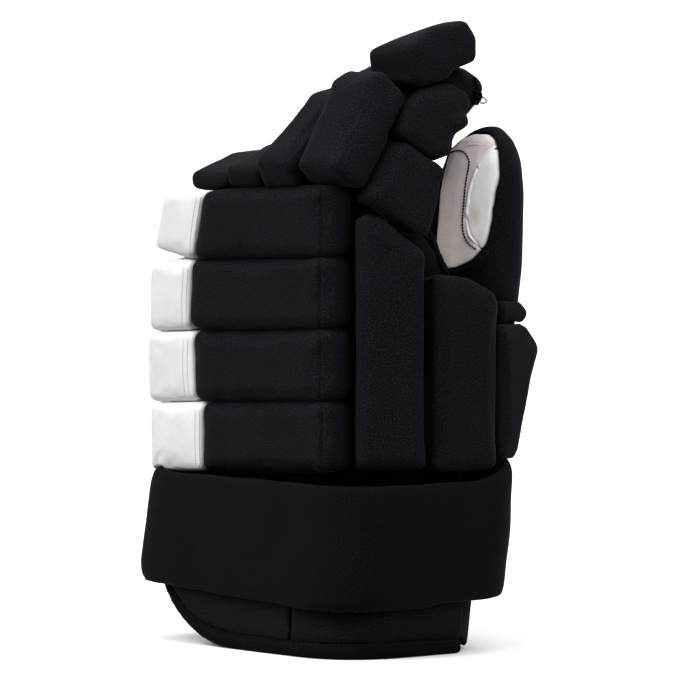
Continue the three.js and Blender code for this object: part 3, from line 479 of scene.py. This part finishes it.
MATERIALS = {
    "roll_textile": textile("roll_textile", (0.0014, 0.001, 0.0024), (0.0225, 0.019, 0.0265)),
    "black_textile": textile(
        "black_textile", (0.0016, 0.0012, 0.0027), (0.0215, 0.0185, 0.0255), LINING_PITCH,
    ),
    "band_textile": textile(
        "band_textile", (0.0006, 0.0004, 0.0012), (0.0086, 0.0072, 0.0109), BAND_PITCH, BAND_SHEEN,
    ),
    "binding_tape": binding_tape("binding_tape"),
    "white_leather": white_leather("white_leather", (0.785, 0.78, 0.795), (0.70, 0.69, 0.70)),
    "grey_leather": grey_leather("grey_leather"),
}
# A brighter copy of the white leather for the thumb's white strip: painted light where the fingers shade the
# strip from the lamps, with the strip's real beige dent.
BRIGHTENED_GUSSET_LEATHER = white_leather("gusset_leather_painted_light", (0.97, 0.965, 0.965), (0.93, 0.915, 0.91), GUSSET_DENT)
THREADS = {
    "black": thread("black_thread", (0.001, 0.001, 0.0015), (0.005, 0.005, 0.007)),
    "brown": thread("brown_black_thread", (0.005, 0.004, 0.004), (0.022, 0.016, 0.015)),
    "grey": thread("grey_thread", (0.30, 0.29, 0.29), (0.5, 0.49, 0.48)),
    "white": thread("white_thread", (0.6, 0.6, 0.6), (0.8, 0.8, 0.8)),
}


def dress(piece, slot, nodes=(), material=None):
    """Gives a piece its finish and its body."""
    piece.data.materials.clear()
    piece.data.materials.append(material or MATERIALS[slot])
    piece.data.shade_smooth()
    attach(piece, "root")
    if nodes:
        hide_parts(*nodes)


# Sewn walls. Each row: the node, its slot, the voxel, rounds of smoothing, how far its folds sway, how tight
# its padding is, and how much of the smoothed-off edges it gets back.
WALLS = [
    ("cuff_sleeve", "black_textile", 0.8, 16, 0.3, None, 0.3),
    ("hand_shell", "black_textile", 1.6, 6, 0.1, None, 0.85),
    ("index_stall", "black_textile", 1.4, 10, 0.1, None, 0.5),
    ("middle_stall", "black_textile", 1.4, 8, 0.2, None, 0.5),
    ("ring_stall", "black_textile", 1.4, 8, 0.2, None, 0.5),
    ("little_stall", "black_textile", 1.4, 8, 0.2, None, 0.5),
    ("palm_leather", "grey_leather", 1.4, 14, 0.5, None, 0.2),
    ("thumb_shell", "black_textile", 1.3, 18, 0.3, None, 0.1),
    ("thumb_palm_leather", "grey_leather", 0.7, 14, 0.3, None, 0.1),
    ("thumb_gusset", "white_leather", 0.6, 12, 0.25, None, 0.1),
    ("wrist_band", "band_textile", 2.1, 8, 0.7, 0.5, 0),
    ("cuff_flap_thumb_side", "roll_textile", 1.4, 8, 0.6, 0.4, 0),
    ("cuff_flap_back", "roll_textile", 1.4, 8, 0.6, 0.4, 0),
    ("hem_binding", "binding_tape", 1.0, 8, 0.3, None, 0),
]

# The voxels of each finger's roll and tip cap
FINGER_VOXELS = {"index": (1.35, 1.35), "middle": (1.35, 1.6), "ring": (1.45, 1.6), "little": (1.45, 1.6)}

# Foam pads. Each row: the node, its slot, the voxel, how tight its foam is, and the group that it meets.
PADS = [(f"back_roll_{i}", "roll_textile", 1.5, 0.9, "rolls") for i in range(1, 5)]
PADS += [(f"white_roll_end_{i}", "white_leather", 1.5, 0.85, "rolls") for i in range(1, 5)]
for finger, (roll_voxel, _) in FINGER_VOXELS.items():
    PADS.append((f"{finger}_roll", "roll_textile", roll_voxel, 0.85, "fingers"))
for finger, (_, cap_voxel) in FINGER_VOXELS.items():
    PADS.append((f"{finger}_tip_cap", "roll_textile", cap_voxel, 0.85, "fingers"))
PADS += [
    ("index_upper_side_pad", "roll_textile", 1.2, 0.85, "fingers"),
    ("index_lower_side_pad", "roll_textile", 1.2, 0.85, "fingers"),
    ("side_roll_front", "roll_textile", 1.6, 0.9, None),
    ("side_roll_rear", "roll_textile", 1.6, 0.9, None),
    ("thumb_base_pad", "roll_textile", 1.4, 0.85, "thumb"),
    ("thumb_heel_pad", "roll_textile", 1.0, 0.85, "thumb"),
]


def add_cloth(piece):
    modifier = piece.modifiers.new("cloth", "CLOTH")
    settings = modifier.settings
    settings.quality = CLOTH_QUALITY
    settings.mass = CLOTH_MASS
    settings.use_pressure = True
    settings.uniform_pressure_force = PAD_PRESSURE
    settings.effector_weights.gravity = 0
    modifier.collision_settings.use_collision = False
    modifier.point_cache.frame_start = 1
    modifier.point_cache.frame_end = PAD_FRAMES


def joined_tree(meshes):
    """One search tree of all the meshes' faces, with the number of the mesh that each face belongs to."""
    points = []
    faces = []
    owners = []
    for number, mesh in enumerate(meshes):
        first = len(points)
        points.extend(Vector(p) for p in points_of(mesh))
        faces.extend([first + i for i in face] for face in faces_of(mesh))
        owners.extend([number] * len(mesh.polygons))
    return BVHTree.FromPolygons(points, faces), owners


def look_ahead(pieces, reach):
    """What each vertex of a pad sees straight ahead: how far off, how squarely faced, and which piece.

    Pads come first in the numbers of the pieces, then the walls. A vertex that sees nothing has an endless
    distance and -1.
    """
    wall_meshes = [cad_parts[row[0]].data for row in WALLS]
    tree, owners = joined_tree([piece.data for piece in pieces] + wall_meshes)
    seen = []
    for number, piece in enumerate(pieces):
        points = points_of(piece.data)
        distances = np.full(len(points), np.inf)
        squareness = np.zeros(len(points))
        partners = np.full(len(points), -1)
        for i, (point, normal) in enumerate(zip(points, normals_of(piece.data))):
            ray = Vector(normal)
            start = Vector(point) + ray * RAY_START * MM
            hit, front, face, distance = tree.ray_cast(start, ray, reach * MM)
            if hit is not None and owners[face] != number:
                distances[i] = distance
                squareness[i] = max(0, -front.dot(ray))
                partners[i] = owners[face]
        seen.append((distances, squareness, partners))
    return seen


def room_ahead(distances, partners, count, clearance):
    """How far each vertex may move: half the way to another pad, or the way to a wall, less a clearance."""
    to_pad = distances / 2 - clearance * MM
    to_wall = distances - WALL_CLEARANCE * MM
    return np.maximum(0, np.where(partners < count, to_pad, to_wall))


def swell(pieces):
    """Blows the pads up together as cloth, with no point further out than the cap or into what it faces."""
    starts = [points_of(piece.data) for piece in pieces]
    seen = look_ahead(pieces, PAD_LOOK)
    for piece in pieces:
        add_cloth(piece)
    scene = bpy.context.scene
    for number in range(1, PAD_FRAMES + 1):
        scene.frame_set(number)
    for piece, start, (distances, _, partners) in zip(pieces, starts, seen):
        apply_modifiers(piece)
        moves = points_of(piece.data) - start
        reach = np.linalg.norm(moves, axis=1)
        most = np.minimum(PAD_SWELL * MM, room_ahead(distances, partners, len(pieces), WALL_CLEARANCE))
        scale = np.minimum(1, most / np.maximum(reach, TINY))
        set_points(piece.data, start + moves * scale[:, None])
    scene.frame_set(1)


def spread_over(mesh, values, rounds):
    """Each vertex's value averaged with its neighbours', that many times."""
    ends = np.empty(len(mesh.edges) * 2, dtype=int)
    mesh.edges.foreach_get("vertices", ends)
    first, second = ends.reshape(-1, 2).T
    degree = np.bincount(ends, minlength=len(values))
    for _ in range(rounds):
        total = np.bincount(first, values[second], len(values))
        total += np.bincount(second, values[first], len(values))
        values = (values + total / degree) / 2
    return values


def meet(pieces, groups):
    """Pads that face each other across a gap grow until they nearly touch, as under one cover."""
    seen = look_ahead(pieces, max(reach for reach, _, _ in MEETINGS.values()))
    for piece, group, (distances, squareness, partners) in zip(pieces, groups, seen):
        if group is None:
            continue
        reach, most, clearance = MEETINGS[group]
        room = room_ahead(distances, partners, len(pieces), clearance)
        met = [groups[partner] if 0 <= partner < len(pieces) else None for partner in partners]
        one_sided = np.array([other in GROWS_TO[group] and other != group for other in met])
        room = np.where(one_sided, np.maximum(0, distances - ONE_SIDED_CLEARANCE * MM), room)
        facing = np.array([other in GROWS_TO[group] for other in met]) & (distances < reach * MM)
        growth = np.where(facing, np.minimum(room, most * MM) * squareness, 0)
        growth = np.minimum(spread_over(piece.data, growth, MEET_ROUNDS), room)
        set_points(piece.data, points_of(piece.data) + normals_of(piece.data) * growth[:, None])


def make_pads():
    pads = {}
    for seed, (node, _, voxel, _, _) in enumerate(PADS):
        piece = copy_of(node, f"padded_{node}")
        surface = surface_of(piece)
        remesh(piece, voxel)
        smooth(piece, 1)
        draw_to(piece, surface, PAD_CRISPNESS)
        smooth(piece, 1, PAD_SOFTENING)
        shift_along_normals(piece, -PAD_SHRINK * MM)
        wrinkle(piece, PAD_WRINKLE_LENGTH, PAD_WRINKLE, seed)
        pads[node] = piece
    swell(list(pads.values()))
    meet(list(pads.values()), [row[4] for row in PADS])
    for node, slot, _, fill, _ in PADS:
        pull(pads[node], node)
        subdivide(pads[node])
        if node in CREASES:
            crease(pads[node], CREASES[node])
        dress(pads[node], slot, [node])
    return pads


# Sewn walls

def smooth_sideways(piece, rounds):
    """Rounds a wall's plan outline and keeps its height."""
    modifier = piece.modifiers.new("smooth", "SMOOTH")
    modifier.iterations = rounds
    modifier.use_z = False
    apply_modifiers(piece)
    shift_along_normals(piece, BAND_REGAIN * MM)


def lap_over(piece):
    """The tape stands proud of the flap that it binds, and its upper edge laps over the flap."""
    shift_along_normals(piece, TAPE_PROUD * MM)
    points = points_of(piece.data)
    upward = np.clip(normals_of(piece.data)[:, 2], 0, 1)
    points[:, 2] += upward * TAPE_LAP * MM
    set_points(piece.data, points)


def make_walls():
    noise.seed_set(FOLD_SEED)
    walls = {}
    for seed, (node, slot, voxel, rounds, fold, fill, crispness) in enumerate(WALLS):
        piece = copy_of(node, f"sewn_{node}")
        surface = surface_of(piece)
        remesh(piece, voxel)
        smooth(piece, rounds, WALL_SMOOTHING)
        draw_to(piece, surface, crispness)
        if node == "wrist_band":
            smooth_sideways(piece, BAND_SMOOTHING)
        if node == "hem_binding":
            lap_over(piece)
        sway(piece, WALL_WRINKLE_LENGTH, fold, seed)
        pull(piece, node)
        if node in THINNED:
            thin_out(piece, THINNED[node])
        dress(piece, slot, [node], BRIGHTENED_GUSSET_LEATHER if node == "thumb_gusset" else None)
        walls[node] = piece
    return walls


pads = make_pads()
walls = make_walls()


# Threads and seams. Their lines are drawn on the photograph, in its pixels, and laid on the surfaces.

# The seam between each white roll end and its black roll, from the top roll down
WHITE_SEAMS = [
    [(204, 197), (199, 230), (197, 259)],
    [(191, 269), (189.5, 300), (190, 327)],
    [(191, 340), (190.5, 370), (193, 398)],
    [(203, 410), (202.5, 440), (203.5, 466)],
]
WHITE_ROWS = (3.2, 7.6)  # pixels from the seam to its two rows of stitches
THUMB_STITCHES = [
    (448, 154), (456, 151), (464, 152), (469, 160), (469, 166), (466, 182), (464, 202), (462.5, 222),
    (464, 235), (469, 244), (479, 251),
]
GUSSET_EDGE = [
    (497, 146), (489, 151), (480, 164), (472, 182), (468, 202), (467, 222), (470, 236), (479, 246),
]
LEATHER_CREASE = [(464, 146), (474, 144.5), (484, 145)]
RUFFLE = [(440, 258), (444, 266), (451, 271), (460, 272), (469, 269), (477, 263), (484, 254), (489, 244)]
HEM_ROW = [
    (180, 608), (188, 618), (200, 627), (222, 635.5), (256, 641), (291, 644.5), (350, 645), (400, 644),
    (440, 642), (461, 640),
]
FLAP_SEAM_ROWS = [[(291.5, 606), (291.5, 652)], [(297, 606), (297, 652)]]
CAP_SEAM = [(411, 54), (413, 70), (415, 87)]
BAND_LOOPS = [(424, 478), (440, 477.5), (455, 476.5), (470, 475), (486, 473), (498, 471)]
FINGERTIP_FOLD = [(473, 78), (476, 84), (477, 90), (475, 98), (470, 105)]
FINGERTIP_FRAY = [(475, 92), (476, 97), (472, 104)]
LOOSE_THREAD = [(477, 98), (481, 97), (486, 98), (488, 101), (485, 103), (480, 102)]
BODY_SEAMS = [
    [
        (427.6, 231), (431, 239.5), (434.8, 249.5), (438.6, 259.5), (440.8, 265.5), (442.8, 270.5),
        (446, 279),
    ],
    [(461.7, 466), (461.7, 475), (461.7, 480)],
    [(349.5, 220.3), (352.5, 220.3), (356, 220.3)],
]


def spline(pixels, steps=14):
    """A smooth line of pixels through the given ones."""
    ends = [pixels[0], *pixels, pixels[-1]]
    route = []
    for before, here, ahead, after in zip(ends, ends[1:], ends[2:], ends[3:]):
        for step in range(steps):
            t = step / steps
            point = []
            for a, b, c, d in zip(before, here, ahead, after):
                bend = (2 * a - 5 * b + 4 * c - d) * t**2 + (3 * b - a - 3 * c + d) * t**3
                point.append(b + ((c - a) * t + bend) / 2)
            route.append(point)
    return [*route, pixels[-1]]


def laid(pixels, pieces, spacing):
    """Points a spacing in millimetres apart on the pieces along that line, each with its normal."""
    tree, _ = joined_tree([piece.data for piece in pieces])
    points = []
    normals = []
    for x, y in spline(pixels):
        sideways = RIGHT * (x - FRAME_PIXELS / 2) * PIXEL * MM
        upward = UP * (FRAME_PIXELS / 2 - y) * PIXEL * MM
        ray = (AIM + sideways + upward - CAMERA_PLACE).normalized()
        hit, normal, _, _ = tree.ray_cast(CAMERA_PLACE, ray)
        if hit is not None:
            points.append(hit)
            normals.append(normal)
    points = np.array(points)
    normals = np.array(normals)
    lengths = np.linalg.norm(np.diff(points, axis=0), axis=1)
    travelled = np.concatenate([[0], np.cumsum(lengths)])
    stops = np.arange(0, travelled[-1], spacing * MM)
    even = []
    for part in (points, normals):
        even.append(np.stack([np.interp(stops, travelled, part[:, i]) for i in range(3)], 1))
    return [(Vector(point), Vector(normal).normalized()) for point, normal in zip(*even)]


class Tubes:
    """Thin tubes, stitches and loops gathered into one mesh."""

    def __init__(self):
        self.points = []
        self.faces = []

    def tube(self, route, radii, sides=6):
        first = len(self.points)
        side = None
        for i, centre in enumerate(route):
            ahead = (route[min(i + 1, len(route) - 1)] - route[max(i - 1, 0)]).normalized()
            if side is None:
                side = ahead.orthogonal()
            side = (side - ahead * side.dot(ahead)).normalized()
            other = ahead.cross(side)
            for j in range(sides):
                angle = 2 * math.pi * j / sides
                away = side * math.cos(angle) + other * math.sin(angle)
                self.points.append(centre + away * radii[i] * MM)
        for i in range(len(route) - 1):
            low = first + i * sides
            for j in range(sides):
                k = (j + 1) % sides
                self.faces.append((low + j, low + k, low + sides + k, low + sides + j))
        last = first + (len(route) - 1) * sides
        self.faces.append(tuple(first + j for j in reversed(range(sides))))
        self.faces.append(tuple(last + j for j in range(sides)))

    def stitches(self, run, length, radius):
        """One stitch from each point of a run towards the next."""
        for (here, normal), (ahead, _) in zip(run, run[1:]):
            way = (ahead - here).normalized()
            start = here + normal * radius * 0.4 * MM
            route = [start + way * length * part * MM for part in (0, 0.2, 0.8, 1)]
            self.tube(route, [radius * part for part in (0.4, 1, 1, 0.4)])

    def sew(self, line, pieces, spacing, length, radius):
        """Stitches along a line of the photograph."""
        self.stitches(laid(line, pieces, spacing), length, radius)

    def loops(self, run, height, radius, seed, each):
        """Ragged loops of thread that stand on a run of points."""
        chance = random.Random(seed)
        for (here, normal), (ahead, _) in zip(run, run[1:]):
            way = (ahead - here).normalized()
            aside = way.cross(normal)
            for _ in range(each):
                lean = aside * chance.uniform(-0.8, 0.8) + way * chance.uniform(-0.6, 0.6)
                top = height * chance.uniform(0.5, 1.1)
                foot = here + aside * chance.uniform(-0.6, 0.6) * height * MM
                width = chance.uniform(0.4, 1.0) * height
                route = []
                for step in range(7):
                    t = step / 6
                    arch = math.sin(math.pi * t) * top
                    route.append(foot + (way * width * (t - 0.5) + (normal + lean * 0.7) * arch) * MM)
                self.tube(route, [radius] * 7, sides=5)

    def build(self, name, slot, material=None):
        mesh = bpy.data.meshes.new(name)
        mesh.from_pydata(self.points, [], self.faces)
        piece = new_piece(name, mesh)
        dress(piece, slot, material=material)
        return piece


def piping(name, run, radius, lift, slot, unevenness=0.0, seed=0, material=None):
    """A rolled edge that runs along the points, thinner at its ends."""
    chance = random.Random(seed)
    count = len(run)
    radii = []
    for i in range(count):
        taper = min(1, 0.3 + 0.7 * min(i, count - 1 - i) / 3)
        radii.append(radius * taper * (1 + unevenness * chance.uniform(-1, 1)))
    tubes = Tubes()
    tubes.tube([point + normal * lift * MM for point, normal in run], radii, sides=10)
    return tubes.build(name, slot, material)


# Millimetres between the points that a rolled edge runs through
FINE_SPACING = 1.0
EDGE_SPACING = 1.2
FOLD_SPACING = 1.6

# Millimetres between clumps of loose fibre
FRAY_SPACING = 0.8
HOOK_SPACING = 0.9

# Stitches. Each row: their spacing, length and radius
WHITE_STITCH = (1.15, 0.75, 0.17)
THUMB_STITCH = (1.45, 1.2, 0.42)
HEM_STITCH = (1.9, 1.3, 0.22)
FLAP_STITCH = (1.7, 1.2, 0.22)
CAP_STITCH = (1.5, 1.1, 0.2)

# Rolled edges and folds. Each row: their radius, and how far their middle lies off the surface
LEATHER_FOLD = (0.5, -0.15)
GUSSET_ROLL = (0.75, 0.1)
RUFFLE_ROLL = (1.7, 0.3)
BODY_PIPING = (1.6, 0.6)
FINGERTIP_ROLL = (1.3, 0.6)
RUFFLE_UNEVENNESS = 0.35
FOLD_UNEVENNESS = 0.12

# Loops of thread. Each row: their height, radius, seed, and how many stand at each point
RUFFLE_LOOPS = (2.2, 0.28, 5, 3)
FRAY_LOOPS = (2.4, 0.45, 11, 4)
HOOK_LOOPS = (1.8, 0.2, 8, 3)

LOOSE_THREAD_RADIUS = 0.6
LOOSE_THREAD_STEPS = 4


def sew_white_ends():
    white = Tubes()
    for number, seam in zip((4, 3, 2, 1), WHITE_SEAMS):
        for row in WHITE_ROWS:
            white.sew([(x - row, y) for x, y in seam], [pads[f"white_roll_end_{number}"]], *WHITE_STITCH)
    white.build("white_end_stitches", "grey_leather", THREADS["grey"])


def sew_thumb():
    """The stitch line and the rolled edges in the thumb's window, and the worn ruffle under it."""
    face = [walls["thumb_palm_leather"], walls["thumb_gusset"]]
    stitches = Tubes()
    stitches.sew(THUMB_STITCHES, face, *THUMB_STITCH)
    stitches.build("thumb_stitches", "binding_tape", THREADS["brown"])
    piping("thumb_leather_fold", laid(LEATHER_CREASE, face, FINE_SPACING), *LEATHER_FOLD, "grey_leather")
    rolled = laid(GUSSET_EDGE, face, EDGE_SPACING)
    piping("gusset_rolled_edge", rolled, *GUSSET_ROLL, "white_leather", material=BRIGHTENED_GUSSET_LEATHER)

    ruffle = laid(RUFFLE, [walls["thumb_shell"], *face], EDGE_SPACING)
    piping("thumb_ruffle", ruffle, *RUFFLE_ROLL, "black_textile", RUFFLE_UNEVENNESS, seed=3)
    frayed = Tubes()
    frayed.loops(ruffle, *RUFFLE_LOOPS)
    frayed.build("thumb_ruffle_loops", "black_textile")


def pipe_body_seams():
    body = [walls["hand_shell"], walls["palm_leather"], walls["index_stall"]]
    for number, seam in enumerate(BODY_SEAMS):
        run = laid(seam, body, FINE_SPACING)
        piping(f"body_seam_piping_{number + 1}", run, *BODY_PIPING, "black_textile")


def sew_cuff():
    flap = [walls["cuff_flap_back"], walls["cuff_flap_thumb_side"], walls["hem_binding"]]
    cuff = Tubes()
    cuff.sew(HEM_ROW, flap, *HEM_STITCH)
    for row in FLAP_SEAM_ROWS:
        cuff.sew(row, flap, *FLAP_STITCH)
    cuff.build("cuff_stitches", "binding_tape", THREADS["black"])


def sew_cap():
    cap = Tubes()
    cap.sew(CAP_SEAM, [pads["index_tip_cap"]], *CAP_STITCH)
    cap.build("cap_stitches", "binding_tape", THREADS["black"])


def fray_fingertip():
    """A ragged fold at the index fingertip, with one loose thread that hangs off it."""
    fingertip = [walls["index_stall"], walls["palm_leather"]]
    fold = laid(FINGERTIP_FOLD, fingertip, FOLD_SPACING)
    piping("fingertip_fold", fold, *FINGERTIP_ROLL, "black_textile", FOLD_UNEVENNESS, seed=9)
    fray = laid(FINGERTIP_FRAY, fingertip, FRAY_SPACING)
    tip = Tubes()
    tip.loops(fray, *FRAY_LOOPS)
    tip.build("fingertip_fray", "black_textile")

    root = fray[len(fray) // 2][0]
    strand = []
    for x, y in spline(LOOSE_THREAD, LOOSE_THREAD_STEPS):
        sideways = RIGHT * (x - LOOSE_THREAD[0][0]) * PIXEL * MM
        strand.append(root + sideways - UP * (y - LOOSE_THREAD[0][1]) * PIXEL * MM)
    loose = Tubes()
    loose.tube(strand, [LOOSE_THREAD_RADIUS] * len(strand))
    loose.build("loose_thread", "grey_leather", THREADS["white"])


def fray_band():
    hooks = Tubes()
    hooks.loops(laid(BAND_LOOPS, [walls["wrist_band"]], HOOK_SPACING), *HOOK_LOOPS)
    hooks.build("band_loops", "black_textile")


sew_white_ends()
sew_thumb()
pipe_body_seams()
sew_cuff()
sew_cap()
fray_fingertip()
fray_band()


# Stage, light and camera

FLOOR_SIZE = 90
FLOOR_DROP = 0.1

# Light from all round, which fades from above to below between two heights
WORLD_ABOVE = 0.36
WORLD_BELOW = 0.16
WORLD_FADE = (-0.4, 0.4)

# Softboxes. Each row: the name, its azimuth and elevation, how many degrees it spreads over, and its power.
LAMPS = [
    ("softbox_left", -22, 42, 36, 2.6),
    ("softbox_right", 78, 34, 36, 1.5),
    ("softbox_above", 40, 80, 70, 1.8),
    ("softbox_behind", 200, 40, 60, 1.2),
]


def make_floor():
    mesh = bpy.data.meshes.new("floor")
    half = FLOOR_SIZE / 2
    corners = [(-half, -half), (half, -half), (half, half), (-half, half)]
    mesh.from_pydata([(x, y, -FLOOR_DROP * MM) for x, y in corners], [], [(0, 1, 2, 3)])
    floor = new_piece("floor", mesh)
    shader = Shader("pale_floor", roughness=0.9, specular=0.1)
    cloud = shader.noise(shader.place, 0.004, detail=2.0)
    colour = shader.mix_colour(cloud, (0.86, 0.86, 0.86), (0.9, 0.9, 0.9))
    mesh.materials.append(shader.finish(colour, shader.bump(cloud, 0.1, 0.1)))
    floor.visible_diffuse = False


def make_light(name, azimuth, elevation, spread, power):
    """Even light from one side, as from a softbox that spreads over that many degrees."""
    lamp = bpy.data.lights.new(name, "SUN")
    lamp.angle = math.radians(spread)
    lamp.energy = power
    holder = new_piece(name, lamp)
    away = direction(azimuth, elevation)
    holder.location = AIM + away
    holder.rotation_mode = "QUATERNION"
    holder.rotation_quaternion = away.to_track_quat("Z", "Y")


def make_world():
    """Even light from above that fades to a weak light from below."""
    world = bpy.data.worlds.new("studio")
    world.use_nodes = True
    tree = world.node_tree
    background = tree.nodes["Background"]
    place = tree.nodes.new("ShaderNodeTexCoord")
    split = tree.nodes.new("ShaderNodeSeparateXYZ")
    fade = tree.nodes.new("ShaderNodeMapRange")
    tree.links.new(place.outputs["Generated"], split.inputs[0])
    tree.links.new(split.outputs["Z"], fade.inputs["Value"])
    tree.links.new(fade.outputs["Result"], background.inputs["Strength"])
    fade.inputs["From Min"].default_value = WORLD_FADE[0]
    fade.inputs["From Max"].default_value = WORLD_FADE[1]
    fade.inputs["To Min"].default_value = WORLD_BELOW
    fade.inputs["To Max"].default_value = WORLD_ABOVE
    background.inputs["Color"].default_value = (1, 1, 1, 1)
    bpy.context.scene.world = world
    bpy.context.scene.view_settings.view_transform = "Standard"


def make_camera():
    lens = bpy.data.cameras.new("camera")
    lens.sensor_width = SENSOR
    lens.lens = SENSOR * CAMERA_DISTANCE / (FRAME_PIXELS * PIXEL * MM)
    lens.clip_start = 0.1
    lens.clip_end = 200
    camera = new_piece("camera", lens)
    camera.location = CAMERA_PLACE
    camera.rotation_mode = "QUATERNION"
    camera.rotation_quaternion = TOWARDS_CAMERA.to_track_quat("Z", "Y")
    bpy.context.scene.camera = camera


make_floor()
make_world()
for lamp_row in LAMPS:
    make_light(*lamp_row)
make_camera()
